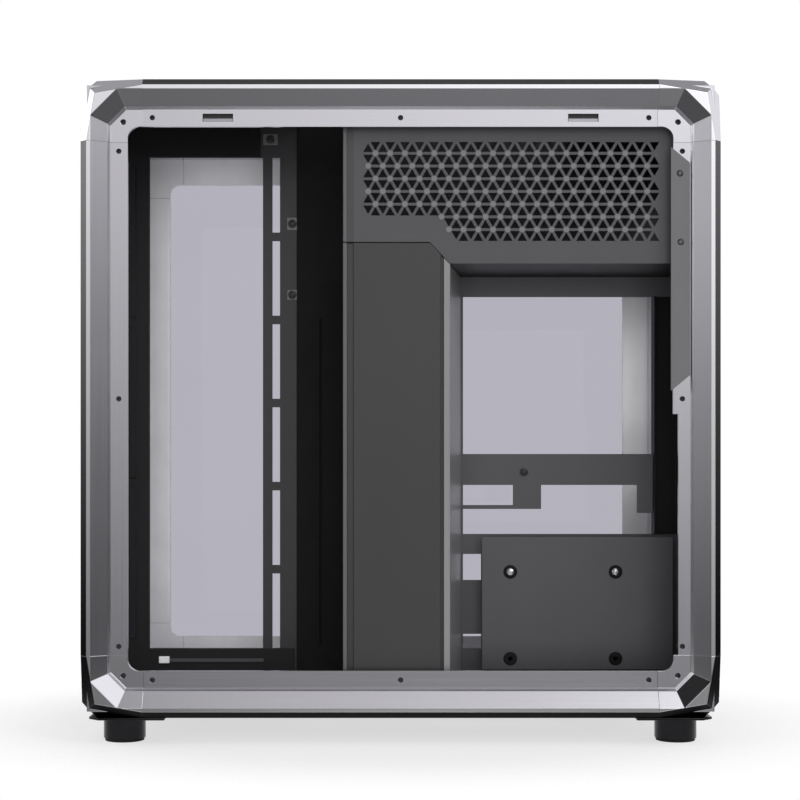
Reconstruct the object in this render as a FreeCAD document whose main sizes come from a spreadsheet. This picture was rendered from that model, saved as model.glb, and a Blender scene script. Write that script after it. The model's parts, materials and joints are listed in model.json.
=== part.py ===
import FreeCAD
import Part
import Sketcher
import math
import os
import re

# A mid tower computer case with its right side panel taken off.
# X runs from the front (-) to the rear (+), Y from the open right side (-) to the
# glass left side (+), Z up. The origin is on the floor, under the middle of the case.

SIZES = {
    # outside of the frame
    "case_length": 482,
    "case_width": 290,
    "case_height": 481,
    "foot_height": 21,
    # section of a frame rail, measured from the outer edge inward
    "edge_chamfer": 5,
    "ridge_width": 3,
    "facet_width": 12,
    "facet_drop": 6.5,
    "step_width": 2,
    "step_drop": 2.5,
    "flange_width": 13,
    "flange_thickness": 3,
    "chamber_inset": 4.5,
    "chamber_side": 6,
    # cast corner brackets
    "corner_length": 47,
    "corner_cut": 13,
    "facet_corner_leg": 20,
    "flange_corner_radius": 9,
    "corner_hole_inset": 31.5,
    "spigot_length": 16,
    "spigot_clearance": 0.2,
    "cut_margin": 1,
    # screw holes and latch slots of the flanges
    "flange_hole_diameter": 4,
    "flange_hole_line": 28.2,
    "rail_hole_inset": 6.5,
    "latch_slot_length": 23,
    "latch_slot_width": 6,
    "latch_slot_offset": 138,
    "post_notch_depth": 3.8,
    "post_notch_rise": 43,
    "post_notch_top": 229,
    # panels lying on the flanges
    "panel_clearance": 0.5,
    "glass_thickness": 4,
    "sheet": 1.2,
    "vent_slot_length": 60,
    "vent_slot_width": 7,
    "vent_row_gap": 8,
    "vent_pitch": 15,
    "vent_shift": 25,
    # depth of the back chamber's layers behind the outer face of the right side
    "cover_depth": 22,
    "tray_depth": 115,
    "drive_depth": 92,
    # power supply bay
    "psu_bay_height": 135.6,
    "psu_width": 150,
    "psu_height": 86,
    "psu_side_gap": 13,
    "psu_wall_gap": 3,
    "psu_cutout_inset": 10,
    "psu_hole_diameter": 4,
    "cover_reach": 284.7,
    # isogrid field of the power supply cover
    "grid_pitch": 11.2,
    "grid_rib": 2.2,
    "grid_side_margin": 13.5,
    "grid_rear_margin": 41.5,
    "grid_top_margin": 43,
    "grid_bottom_margin": 14.5,
    "grid_step_height": 20.5,
    "grid_step_length": 49,
    "grid_step_slant": 23,
    # cable cover, a moulded column in front of the tray
    "column_lip": 3,
    "column_groove": 5,
    "column_groove_depth": 2.5,
    "column_wall": 1.5,
    "column_face": 66.6,
    "column_slit": 2.3,
    "column_ridge": 4.7,
    "column_slope": 13,
    "seam_rise": 15.2,
    "seam_corner": 15.3,
    "seam_gap": 0.6,
    # tray and its cut-outs, measured from the rear end and down from the shelf
    "cutout_left": 188.5,
    "cutout_right": 34.7,
    "cpu_cutout_top": 17.5,
    "cpu_cutout_bottom": 145.7,
    "bar_bottom": 171,
    "bar_tab_left": 147.7,
    "bar_tab_width": 23,
    "bar_tab_drop": 16.4,
    "bar_strip": 3.2,
    "low_cutout_bottom": 211,
    "low_cutout_step": 46.4,
    "low_step_top": 193.9,
    "drive_slot_width": 14.7,
    "drive_slot_upper_top": 118,
    "drive_slot_upper_bottom": 96.8,
    "drive_slot_lower_top": 52.7,
    "drive_slot_lower_bottom": 41.2,
    "grommet_inset": 5,
    "grommet_thickness": 3,
    "grommet_groove": 2,
    "grommet_clearance": 0.3,
    "grommet_end_gap": 30,
    # front bracket, measured from the front end and from the cable gap behind it
    "cable_gap": 39.4,
    "bracket_front_gap": 16,
    "window_front": 37.8,
    "window_rear_gap": 27.8,
    "window_bottom": 41.2,
    "window_top": 39.5,
    "slot_rear_gap": 20,
    "slot_width": 6.1,
    "slot_rib": 7,
    "bracket_fold": 14,
    # black trim round the bracket's window, and the cable channel at the rear of the tray
    "trim_thickness": 2,
    "trim_gap": 0.2,
    "trim_end_gap": 2,
    "trim_rib_width": 5,
    "trim_rib_height": 1.2,
    "trim_rib_inset": 5.5,
    "trim_rib_gap": 8,
    "channel_gap": 1,
    "channel_wall": 1.5,
    "channel_depth": 8,
    # standoffs and mounting places of the motherboard
    "standoff_height": 6.5,
    "standoff_flats": 7,
    "standoff_bore": 3,
    "standoff_hole": 5.5,
    "board_top_gap": 1.5,
    "board_rear_gap": 2,
    "board_hole_top": 10.2,
    "board_hole_middle": 157.7,
    "board_hole_bottom": 284.7,
    "board_hole_rear": 16.5,
    "board_hole_centre": 127.7,
    "board_hole_front": 214,
    # rear panel
    "io_width": 44.5,
    "io_height": 158.8,
    "io_drop": 5,
    "io_below": 2.3,
    "slot_first": 172,
    "slot_pitch": 20.32,
    "slot_opening": 12,
    "slot_end_gap": 30.3,
    "slot_start": 4,
    "slot_cover_height": 18.4,
    "slot_cover_overlap": 4,
    "rear_vent_end_gap": 14.1,
    "rear_vent_width": 7,
    "rear_vent_pitch": 14,
    "rear_vent_gap": 10,
    # drive plate on spacers in front of the tray
    "drive_left": 174.4,
    "drive_length": 153.5,
    "drive_bottom": 26.3,
    "drive_height": 106.5,
    "drive_hole_x": 84.6,
    "drive_hole_z": 69.8,
    "drive_hole_left": 22.7,
    "drive_hole_rise": 8.6,
    "drive_hole_diameter": 11,
    "drive_ring_clearance": 0.2,
    "spacer_flats": 13,
    "spacer_bore": 3.4,
    # plate screwed on the flange of the rear post
    "post_plate_top": 50.3,
    "post_plate_bottom": 246.4,
    "post_plate_slant": 12,
    "post_plate_width": 14.5,
    # screws
    "screw_head_diameter": 6.4,
    "screw_head_height": 2,
    "screw_shank_diameter": 2.8,
    "screw_shank_length": 7,
    # front connections and power button in the top panel
    "port_bar_length": 92,
    "port_bar_width": 17,
    "port_bar_depth": 15,
    "port_bar_front": 60,
    "port_bar_side": 45,
    "port_bar_rim": 3,
    "port_bar_rim_thickness": 2,
    "port_bar_clearance": 0.3,
    "button_diameter": 11.4,
    "button_clearance": 0.3,
    "button_height": 12,
    "button_proud": 1.5,
    "button_inset": 12,
    "button_travel": 1.2,
    "switch_side": 6,
    "usb_length": 13.2,
    "usb_width": 5.8,
    "usb_depth": 9,
    "usb_wall": 0.5,
    "usb_first": 28,
    "usb_pitch": 18,
    "usbc_length": 9,
    "usbc_width": 3.4,
    "jack_diameter": 6,
    "jack_bore": 3.5,
    "port_last_inset": 10,
    "port_clearance": 0.2,
    "port_board": 1.6,
    # feet
    "foot_plate": 58,
    "foot_plate_thickness": 2,
    "foot_diameter": 32,
    "foot_inset_x": 29,
    "foot_inset_y": 35,
    "pad_diameter": 30,
    "pad_height": 2,
}

doc = FreeCAD.newDocument("mid_tower_case")
sheet = doc.addObject("Spreadsheet::Sheet", "Sizes")
for row, (alias, size) in enumerate(SIZES.items(), start=1):
    sheet.set(f"A{row}", str(size))
    sheet.setAlias(f"A{row}", alias)
doc.recompute()

ALIAS = re.compile(r"\b(" + "|".join(SIZES) + r")\b")
NODES = []

# how many of each repeated opening there are
VENT_COUNT = 16
BRACKET_SLOT_COUNT = 6
EXPANSION_SLOT_COUNT = 7
REAR_VENT_COUNT = 11
USB_COUNT = 2
TRIM_RIB_COUNT = 3

# places that several pieces share, as formulas over the sheet
FRONT = "(-case_length / 2)"
REAR = "(case_length / 2)"
RIGHT = "(-case_width / 2)"
LEFT = "(case_width / 2)"
BOTTOM = "foot_height"
TOP = "(foot_height + case_height)"
FACET_START = "(edge_chamfer + ridge_width)"
FACET_END = f"({FACET_START} + facet_width)"
FLANGE_START = f"({FACET_END} + step_width)"
RAIL_REACH = f"({FLANGE_START} + flange_width)"
FLANGE_OUTER = "(facet_drop + step_drop)"
FLANGE_INNER = f"({FLANGE_OUTER} + flange_thickness)"
PANEL_INSET = f"({FLANGE_START} + panel_clearance)"
PANEL_LEG = "(facet_corner_leg - (2 - sqrt(2)) * (facet_width + step_width))"
FLOOR = f"({BOTTOM} + {FLANGE_OUTER})"
CEILING = f"({TOP} - {FLANGE_OUTER})"
REAR_WALL = f"({REAR} - {FLANGE_OUTER})"
INNER_FLOOR = f"({BOTTOM} + {FLANGE_INNER})"
INNER_CEILING = f"({TOP} - {FLANGE_INNER})"
INNER_REAR = f"({REAR} - {FLANGE_INNER})"
SHELF_TOP = f"({TOP} - psu_bay_height)"
SHELF_UNDER = f"({SHELF_TOP} - sheet)"
COVER_Y = f"({RIGHT} + cover_depth)"
TRAY_Y = f"({RIGHT} + tray_depth)"
TRAY_BACK = f"({TRAY_Y} + sheet)"
BOARD_Y = f"({TRAY_BACK} + standoff_height)"
BOARD_TOP = f"({SHELF_UNDER} - board_top_gap)"
COVER_FRONT = f"({REAR} - cover_reach)"
BRACKET_REAR = f"({COVER_FRONT} - cable_gap)"
PSU_Y = f"({COVER_Y} + sheet + psu_side_gap)"
SHROUD_WALL = f"({PSU_Y} + psu_width + psu_wall_gap)"


def bind(item, place, formula):
    item.setExpression(place, ALIAS.sub(r"Sizes.\1", formula))


def number(formula):
    return float(sheet.evalExpression(formula))


def vector(axis):
    return FreeCAD.Vector(*axis)


def place(item, base, x_axis=(1, 0, 0), y_axis=(0, 1, 0)):
    """Turn an object's own x and y axes to the given directions and bind its base point."""
    z_axis = vector(x_axis).cross(vector(y_axis))
    turn = FreeCAD.Rotation(vector(x_axis), vector(y_axis), z_axis, "XYZ")
    item.Placement = FreeCAD.Placement(FreeCAD.Vector(), turn)
    for letter, formula in zip("xyz", base):
        bind(item, f"Placement.Base.{letter}", formula)


def node(item, label):
    item.Label = label
    NODES.append(item)
    return item


# Sketches


def hold_point(sketch, geometry, position, point):
    for kind, formula in zip(("DistanceX", "DistanceY"), point):
        rule = Sketcher.Constraint(kind, -1, 1, geometry, position, number(formula))
        bind(sketch, f"Constraints[{sketch.addConstraint(rule)}]", formula)


def add_polygon(sketch, points):
    first = len(sketch.Geometry)
    corners = [FreeCAD.Vector(number(x), number(y), 0) for x, y in points]
    count = len(corners)
    for i in range(count):
        sketch.addGeometry(Part.LineSegment(corners[i], corners[(i + 1) % count]))
    for i in range(count):
        sketch.addConstraint(Sketcher.Constraint("Coincident", first + i, 2, first + (i + 1) % count, 1))
    for i, point in enumerate(points):
        hold_point(sketch, first + i, 1, point)


def add_rectangle(sketch, x0, x1, y0, y1):
    add_polygon(sketch, [(x0, y0), (x1, y0), (x1, y1), (x0, y1)])


def add_circle(sketch, centre, diameter):
    middle = FreeCAD.Vector(number(centre[0]), number(centre[1]), 0)
    circle = sketch.addGeometry(Part.Circle(middle, FreeCAD.Vector(0, 0, 1), number(diameter) / 2))
    hold_point(sketch, circle, 3, centre)
    rule = Sketcher.Constraint("Diameter", circle, number(diameter))
    bind(sketch, f"Constraints[{sketch.addConstraint(rule)}]", diameter)


def new_sketch(body, role="XY_Plane"):
    plane = next(feature for feature in body.Origin.OriginFeatures if feature.Role == role)
    sketch = body.newObject("Sketcher::SketchObject", f"{body.Name}_sketch")
    sketch.AttachmentSupport = [(plane, "")]
    sketch.MapMode = "FlatFace"
    return sketch


def raise_sketch(sketch, formula):
    bind(sketch, "AttachmentOffset.Base.z", formula)


# Solid features


def new_body(label):
    return node(doc.addObject("PartDesign::Body", label), label)


def pad(body, sketch, length, side="One side"):
    feature = body.newObject("PartDesign::Pad", f"{body.Name}_pad")
    feature.Profile = sketch
    feature.SideType = side
    bind(feature, "Length", length)
    return feature


def pocket_through(body, sketch):
    feature = body.newObject("PartDesign::Pocket", f"{body.Name}_pocket")
    feature.Profile = sketch
    feature.Type = "ThroughAll"
    feature.SideType = "Symmetric"
    return feature


def box(name, x, y, z):
    item = doc.addObject("Part::Box", name)
    for side, letter, (low, high) in zip(("Length", "Width", "Height"), "xyz", (x, y, z)):
        bind(item, side, f"({high}) - ({low})")
        bind(item, f"Placement.Base.{letter}", low)
    return item


def cylinder(name, base, diameter, height, axis=(0, 0, 1)):
    item = doc.addObject("Part::Cylinder", name)
    bind(item, "Radius", f"({diameter}) / 2")
    bind(item, "Height", height)
    turn = FreeCAD.Rotation(FreeCAD.Vector(0, 0, 1), vector(axis))
    item.Placement = FreeCAD.Placement(FreeCAD.Vector(), turn)
    for letter, formula in zip("xyz", base):
        bind(item, f"Placement.Base.{letter}", formula)
    return item


def hexagon(name, base, across_flats, height, axis):
    item = doc.addObject("Part::Prism", name)
    item.Polygon = 6
    bind(item, "Circumradius", f"({across_flats}) / sqrt(3)")
    bind(item, "Height", height)
    turn = FreeCAD.Rotation(FreeCAD.Vector(0, 0, 1), vector(axis))
    item.Placement = FreeCAD.Placement(FreeCAD.Vector(), turn)
    for letter, formula in zip("xyz", base):
        bind(item, f"Placement.Base.{letter}", formula)
    return item


def cut(name, base, tool):
    item = doc.addObject("Part::Cut", name)
    item.Base = base
    item.Tool = tool
    return item


def fuse(name, shapes):
    item = doc.addObject("Part::MultiFuse", name)
    item.Shapes = shapes
    return item


def group(label, shapes):
    item = doc.addObject("Part::Compound", label)
    item.Links = shapes
    return node(item, label)


def link(name, source):
    item = doc.addObject("App::Link", name)
    item.LinkedObject = source
    return item


# Frame rails: hollow extrusions with a bevelled bead and two recessed flanges


def rail(label, length, base, u_axis, v_axis, drilled=False):
    body = new_body(label)
    side = [
        ("edge_chamfer", "0"),
        (FACET_START, "0"),
        (FACET_END, "facet_drop"),
        (FLANGE_START, FLANGE_OUTER),
        (RAIL_REACH, FLANGE_OUTER),
        (RAIL_REACH, FLANGE_INNER),
    ]
    section = new_sketch(body)
    add_polygon(section, side + [(FLANGE_INNER, FLANGE_INNER)] + [(v, u) for u, v in reversed(side)])
    chamber_end = "(chamber_inset + chamber_side)"
    add_rectangle(section, "chamber_inset", chamber_end, "chamber_inset", chamber_end)
    pad(body, section, length, "Symmetric")
    if drilled:
        last = f"(({length}) / 2 - rail_hole_inset)"
        holes = new_sketch(body, "YZ_Plane")
        for along in (f"-{last}", "0", last):
            add_circle(holes, ("flange_hole_line", along), "flange_hole_diameter")
        pocket_through(body, holes)
    place(body, base, u_axis, v_axis)
    return body


X_LENGTH = "(case_length - 2 * corner_length)"
Y_LENGTH = "(case_width - 2 * corner_length)"
Z_LENGTH = "(case_height - 2 * corner_length)"
MIDDLE = f"(({BOTTOM} + {TOP}) / 2)"
SIDE_NAMES = {-1: "right", 1: "left"}
END_NAMES = {-1: "front", 1: "rear"}
LEVEL_NAMES = {-1: "bottom", 1: "top"}
SIDE_Y = {-1: RIGHT, 1: LEFT}
END_X = {-1: FRONT, 1: REAR}
LEVEL_Z = {-1: BOTTOM, 1: TOP}
OPEN_SIDE = -1

rails = {}
for side in (-1, 1):
    drilled = side == OPEN_SIDE
    for level in (-1, 1):
        name = f"{LEVEL_NAMES[level]}_{SIDE_NAMES[side]}_rail"
        base = ("0", SIDE_Y[side], LEVEL_Z[level])
        rails[name] = rail(name, X_LENGTH, base, (0, -side, 0), (0, 0, -level), drilled)
    for end in (-1, 1):
        name = f"{END_NAMES[end]}_{SIDE_NAMES[side]}_post"
        base = (END_X[end], SIDE_Y[side], MIDDLE)
        rails[name] = rail(name, Z_LENGTH, base, (0, -side, 0), (-end, 0, 0), drilled)
for end in (-1, 1):
    for level in (-1, 1):
        name = f"{LEVEL_NAMES[level]}_{END_NAMES[end]}_rail"
        base = (END_X[end], "0", LEVEL_Z[level])
        rail(name, Y_LENGTH, base, (-end, 0, 0), (0, 0, -level))

# two latch slots in the upper flange of the open side
top_rail = rails["top_right_rail"]
slots = new_sketch(top_rail, "YZ_Plane")
for along in ("-latch_slot_offset", "latch_slot_offset"):
    add_rectangle(
        slots,
        "flange_hole_line - latch_slot_width / 2",
        "flange_hole_line + latch_slot_width / 2",
        f"{along} - latch_slot_length / 2",
        f"{along} + latch_slot_length / 2",
    )
pocket_through(top_rail, slots)

# the rear post's flange is notched below its middle screw
rear_post = rails["rear_right_post"]
notch = new_sketch(rear_post, "YZ_Plane")
add_rectangle(
    notch,
    f"{RAIL_REACH} - post_notch_depth",
    f"{RAIL_REACH} + cut_margin",
    f"{BOTTOM} + post_notch_rise - {MIDDLE}",
    f"{BOTTOM} + post_notch_top - {MIDDLE}",
)
pocket_through(rear_post, notch)

# Corner brackets: one casting, symmetric about its three edges, turned into all eight corners
# and drilled on the open side


def bar(name, points, length, x_axis, y_axis):
    """A polygon in the plane of two axes, extruded both ways along its normal."""
    section = doc.addObject("Sketcher::SketchObject", f"{name}_section")
    add_polygon(section, points)
    place(section, ("0", "0", "0"), x_axis, y_axis)
    item = doc.addObject("Part::Extrusion", name)
    item.Base = section
    item.DirMode = "Normal"
    item.Solid = True
    item.Symmetric = True
    bind(item, "LengthFwd", length)
    return item


def recess_bar(name, start, across):
    """The rail's own facet and step, running square to the given direction."""
    facet_end = f"({start} + facet_width)"
    floor_start = f"({facet_end} + step_width)"
    profile = [
        (start, "-cut_margin"),
        (start, "0"),
        (facet_end, "facet_drop"),
        (floor_start, FLANGE_OUTER),
        ("2 * corner_length", FLANGE_OUTER),
        ("2 * corner_length", "-cut_margin"),
    ]
    return bar(name, profile, "4 * corner_length", across, (0, 0, 1))


far = "(corner_length + cut_margin)"
half_turn = math.sqrt(0.5)
diagonal = (half_turn, half_turn, 0)
recess = doc.addObject("Part::MultiCommon", "corner_recess")
recess.Shapes = [
    recess_bar("recess_along_y", FACET_START, (1, 0, 0)),
    recess_bar("recess_along_x", FACET_START, (0, 1, 0)),
    recess_bar("recess_diagonal", f"((2 * {FACET_START} + facet_corner_leg) / sqrt(2))", diagonal),
]
edge_taper = bar(
    "corner_edge",
    [
        ("-cut_margin", "0"),
        ("corner_cut / sqrt(2)", "0"),
        ("edge_chamfer / sqrt(2)", "corner_length"),
        ("-cut_margin", "corner_length"),
    ],
    "4 * corner_cut",
    diagonal,
    (0, 0, 1),
)
window_depth = (f"{FLANGE_OUTER} - cut_margin", f"{FLANGE_INNER} + cut_margin")
window_bend = f"({RAIL_REACH} + flange_corner_radius)"
window_tall = box("window_tall", (window_bend, far), (RAIL_REACH, far), window_depth)
window_wide = box("window_wide", (RAIL_REACH, far), (window_bend, far), window_depth)
window_round = cylinder(
    "window_round",
    (window_bend, window_bend, window_depth[0]),
    "2 * flange_corner_radius",
    "flange_thickness + 2 * cut_margin",
)
corner_hole = cylinder(
    "corner_hole",
    ("corner_hole_inset", "corner_hole_inset", window_depth[0]),
    "flange_hole_diameter",
    "flange_thickness + 2 * cut_margin",
)
face_cutter = fuse("corner_face_cutter", [recess, edge_taper, window_tall, window_wide, window_round])
whole = ("0", "corner_length")
inner = (FLANGE_INNER, far)
block = box("corner_block", whole, whole, whole)
void = box("corner_void", inner, inner, inner)
corner = cut("corner_shell", block, void)
spigot_low = "(chamber_inset + spigot_clearance)"
spigot_high = "(chamber_inset + chamber_side - spigot_clearance)"
across = (spigot_low, spigot_high)
spigot = box("corner_spigot", across, across, (f"{spigot_low}", "corner_length + spigot_length"))
third_turn = FreeCAD.Rotation(FreeCAD.Vector(1, 1, 1), 120)
spigots = []
for turns in range(3):
    turn = FreeCAD.Rotation()
    for _ in range(turns):
        turn = third_turn.multiply(turn)
    face = link(f"corner_face_{turns}", face_cutter)
    face.Placement = FreeCAD.Placement(FreeCAD.Vector(), turn)
    corner = cut(f"corner_cut_{turns}", corner, face)
    arm = link(f"corner_arm_{turns}", spigot)
    arm.LinkTransform = True
    arm.Placement = FreeCAD.Placement(FreeCAD.Vector(), turn)
    spigots.append(arm)
plain_corner = fuse("corner_plain", [corner] + spigots)
drilled_corner = cut("corner_drilled", plain_corner, corner_hole)

for end in (-1, 1):
    for side in (-1, 1):
        for level in (-1, 1):
            name = f"corner_{LEVEL_NAMES[level]}_{END_NAMES[end]}_{SIDE_NAMES[side]}"
            casting = drilled_corner if side == OPEN_SIDE else plain_corner
            bracket = node(link(name, casting), name)
            axes = [(-end, 0, 0), (0, 0, -level)]
            if end * level != side:
                axes.reverse()
            place(bracket, (END_X[end], SIDE_Y[side], LEVEL_Z[level]), *axes)

# Panels with cut corners, lying on the flanges of the other five faces


def panel(label, low, high, thickness, base, x_axis, y_axis, cutouts=()):
    body = new_body(label)
    outline = new_sketch(body)
    (x0, y0), (x1, y1) = low, high
    leg = PANEL_LEG
    add_polygon(
        outline,
        [
            (f"{x0} + {leg}", y0),
            (f"{x1} - {leg}", y0),
            (x1, f"{y0} + {leg}"),
            (x1, f"{y1} - {leg}"),
            (f"{x1} - {leg}", y1),
            (f"{x0} + {leg}", y1),
            (x0, f"{y1} - {leg}"),
            (x0, f"{y0} + {leg}"),
        ],
    )
    pad(body, outline, thickness)
    if cutouts:
        openings = new_sketch(body)
        for cutout in cutouts:
            add_rectangle(openings, *cutout)
        pocket_through(body, openings)
    place(body, base, x_axis, y_axis)
    return body


half_x = f"({REAR} - {PANEL_INSET})"
half_y = f"({LEFT} - {PANEL_INSET})"
low_z = f"({BOTTOM} + {PANEL_INSET})"
high_z = f"({TOP} - {PANEL_INSET})"
upright_y = ((f"-{half_y}", low_z), (f"{half_y}", high_z))
upright_x = ((f"-{half_x}", low_z), (f"{half_x}", high_z))
flat = ((f"-{half_x}", f"-{half_y}"), (half_x, half_y))

panel(
    "left_glass_panel", *upright_x, "glass_thickness",
    ("0", f"{LEFT} - {FLANGE_OUTER}", "0"), (-1, 0, 0), (0, 0, 1),
)
panel(
    "front_glass_panel", *upright_y, "glass_thickness",
    (f"{FRONT} + {FLANGE_OUTER}", "0", "0"), (0, -1, 0), (0, 0, 1),
)

PORT_X = f"({FRONT} + port_bar_front)"
PORT_Y = f"({RIGHT} + port_bar_side)"
PORT_REAR = f"({PORT_X} + port_bar_length)"
PORT_LEFT = f"({PORT_Y} + port_bar_width)"
port_cutout = (PORT_X, PORT_REAR, PORT_Y, PORT_LEFT)


def vent(body, first, reach_y):
    """Cross slots in two rows, repeated along the panel."""
    slot = new_sketch(body)
    for low in reach_y:
        add_rectangle(slot, first, f"{first} + vent_slot_width", low, f"{low} + vent_slot_length")
    opening = pocket_through(body, slot)
    rows = body.newObject("PartDesign::LinearPattern", f"{body.Name}_vents")
    rows.Originals = [opening]
    rows.Direction = (slot, ["H_Axis"])
    rows.Occurrences = VENT_COUNT
    bind(rows, "Length", f"vent_pitch * {VENT_COUNT - 1}")
    body.Tip = rows


vent_first = f"(vent_shift - vent_pitch * {VENT_COUNT - 1} / 2)"
vent_rows = ("(-vent_row_gap / 2 - vent_slot_length)", "(vent_row_gap / 2)")
top_panel = panel("top_panel", *flat, "sheet", ("0", "0", CEILING), (1, 0, 0), (0, 1, 0), [port_cutout])
bottom_panel = panel("bottom_panel", *flat, "sheet", ("0", "0", FLOOR), (1, 0, 0), (0, -1, 0))
for body in (top_panel, bottom_panel):
    vent(body, vent_first, vent_rows)

IO_LOW_Y = f"({BOARD_Y} - io_below)"
IO_HIGH_Y = f"({IO_LOW_Y} + io_width)"
IO_TOP = f"({BOARD_TOP} - io_drop)"
IO_LOW = f"({IO_TOP} - io_height)"
SLOT_Y = f"({BOARD_Y} + slot_start)"
POST_Y = f"({LEFT} - {RAIL_REACH})"
SLOT_END = f"({POST_Y} - slot_end_gap)"
slot_centres = [f"({BOARD_TOP} - slot_first - {i} * slot_pitch)" for i in range(EXPANSION_SLOT_COUNT)]
rear_cutouts = [
    (IO_LOW_Y, IO_HIGH_Y, IO_LOW, IO_TOP),
    (
        f"{PSU_Y} + psu_cutout_inset",
        f"{PSU_Y} + psu_width - psu_cutout_inset",
        f"{SHELF_TOP} + psu_cutout_inset",
        f"{SHELF_TOP} + psu_height - psu_cutout_inset",
    ),
]
for centre in slot_centres:
    rear_cutouts.append(
        (SLOT_Y, SLOT_END, f"{centre} - slot_opening / 2", f"{centre} + slot_opening / 2")
    )
for i in range(REAR_VENT_COUNT):
    low = f"({IO_LOW} + {i} * rear_vent_pitch)"
    start = f"({IO_HIGH_Y} + rear_vent_gap)"
    rear_cutouts.append((start, f"{POST_Y} - rear_vent_end_gap", low, f"{low} + rear_vent_width"))
rear_panel = panel(
    "rear_panel", *upright_y, "sheet", (REAR_WALL, "0", "0"), (0, 1, 0), (0, 0, 1), rear_cutouts
)
# a supply's screws, across and up from the lower corner of its rear face
PSU_HOLES = [(6, 80), (144, 80), (6, 16), (120, 6)]
psu_holes = new_sketch(rear_panel)
for across_mm, up_mm in PSU_HOLES:
    add_circle(psu_holes, (f"{PSU_Y} + {across_mm}", f"{SHELF_TOP} + {up_mm}"), "psu_hole_diameter")
pocket_through(rear_panel, psu_holes)

covers = []
for i, centre in enumerate(slot_centres):
    covers.append(
        box(
            f"slot_cover_{i}",
            (f"{REAR_WALL} - sheet", REAR_WALL),
            (f"{SLOT_Y} - slot_cover_overlap", f"{SLOT_END} + slot_cover_overlap"),
            (f"{centre} - slot_cover_height / 2", f"{centre} + slot_cover_height / 2"),
        )
    )
group("slot_covers", covers)

# Motherboard tray: one sheet between the front bracket and the rear panel

tray = new_body("motherboard_tray")
outline = new_sketch(tray)
add_polygon(
    outline,
    [
        (BRACKET_REAR, INNER_FLOOR),
        (INNER_REAR, INNER_FLOOR),
        (INNER_REAR, SHELF_UNDER),
        (COVER_FRONT, SHELF_UNDER),
        (COVER_FRONT, CEILING),
        (BRACKET_REAR, CEILING),
    ],
)
pad(tray, outline, "sheet")


def from_rear(formula):
    return f"({REAR} - ({formula}))"


def below_shelf(formula):
    return f"({SHELF_TOP} - ({formula}))"


cut_left = from_rear("cutout_left")
cut_right = from_rear("cutout_right")
tab_left = from_rear("bar_tab_left")
tab_right = from_rear("bar_tab_left - bar_tab_width")
tab_end = below_shelf("bar_bottom + bar_tab_drop")
strip_end = below_shelf("bar_bottom + bar_tab_drop + bar_strip")
low_end = below_shelf("low_cutout_bottom")
step_left = from_rear("low_cutout_step")
slot_right = from_rear("cutout_left - drive_slot_width")
GROMMET_LEFT = f"({BRACKET_REAR} + grommet_inset)"
GROMMET_RIGHT = f"({COVER_FRONT} - grommet_inset)"
GROMMET_LOW = f"({FLOOR} + grommet_end_gap)"
GROMMET_TOP = f"({SHELF_UNDER} - grommet_end_gap)"

openings = new_sketch(tray)
add_rectangle(openings, cut_left, cut_right, below_shelf("cpu_cutout_bottom"), below_shelf("cpu_cutout_top"))
add_rectangle(openings, cut_left, tab_left, tab_end, below_shelf("bar_bottom"))
add_polygon(
    openings,
    [
        (cut_left, low_end),
        (cut_right, low_end),
        (cut_right, below_shelf("low_step_top")),
        (step_left, below_shelf("low_step_top")),
        (step_left, below_shelf("bar_bottom")),
        (tab_right, below_shelf("bar_bottom")),
        (tab_right, strip_end),
        (cut_left, strip_end),
    ],
)
for low, high in (
    ("drive_slot_upper_bottom", "drive_slot_upper_top"),
    ("drive_slot_lower_bottom", "drive_slot_lower_top"),
):
    add_rectangle(openings, cut_left, slot_right, f"{BOTTOM} + {low}", f"{BOTTOM} + {high}")
add_rectangle(openings, GROMMET_LEFT, GROMMET_RIGHT, GROMMET_LOW, GROMMET_TOP)
pocket_through(tray, openings)
BOARD_REAR = f"({REAR_WALL} - board_rear_gap)"
standoff_spots = [
    (f"{BOARD_REAR} - {column}", f"{BOARD_TOP} - {row}")
    for column in ("board_hole_rear", "board_hole_centre", "board_hole_front")
    for row in ("board_hole_top", "board_hole_middle", "board_hole_bottom")
]
bar_hole = new_sketch(tray)
bar_spot = (f"{BOARD_REAR} - board_hole_centre", f"{BOARD_TOP} - board_hole_middle")
add_circle(bar_hole, bar_spot, "standoff_hole")
pocket_through(tray, bar_hole)
place(tray, ("0", TRAY_BACK, "0"), (1, 0, 0), (0, 0, 1))

# a rubber curtain over the gap, with a plug in the tray's opening and a groove for cables to part
grommet = new_body("cable_grommet")
curtain = new_sketch(grommet)
raise_sketch(curtain, "sheet")
add_rectangle(curtain, BRACKET_REAR, COVER_FRONT, INNER_FLOOR, INNER_CEILING)
groove_x = f"(({GROMMET_LEFT} + {GROMMET_RIGHT}) / 2)"
add_rectangle(
    curtain,
    f"{groove_x} - grommet_groove / 2",
    f"{groove_x} + grommet_groove / 2",
    f"{GROMMET_LOW} + grommet_inset",
    f"{GROMMET_TOP} - grommet_inset",
)
pad(grommet, curtain, "grommet_thickness")
plug = new_sketch(grommet)
add_rectangle(
    plug,
    f"{GROMMET_LEFT} + grommet_clearance",
    f"{GROMMET_RIGHT} - grommet_clearance",
    f"{GROMMET_LOW} + grommet_clearance",
    f"{GROMMET_TOP} - grommet_clearance",
)
pad(grommet, plug, "sheet")
place(grommet, ("0", TRAY_BACK, "0"), (1, 0, 0), (0, 0, 1))

standoffs = []
for i, (x, z) in enumerate(standoff_spots):
    spot = (x, TRAY_BACK, z)
    shank = hexagon(f"standoff_{i}_shank", spot, "standoff_flats", "standoff_height", (0, 1, 0))
    bore = cylinder(f"standoff_{i}_bore", spot, "standoff_bore", "standoff_height", (0, 1, 0))
    standoffs.append(cut(f"standoff_{i}", shank, bore))
group("standoffs", standoffs)

# Front bracket: a slotted sheet with a tall window and a fold along its foot and head

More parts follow.
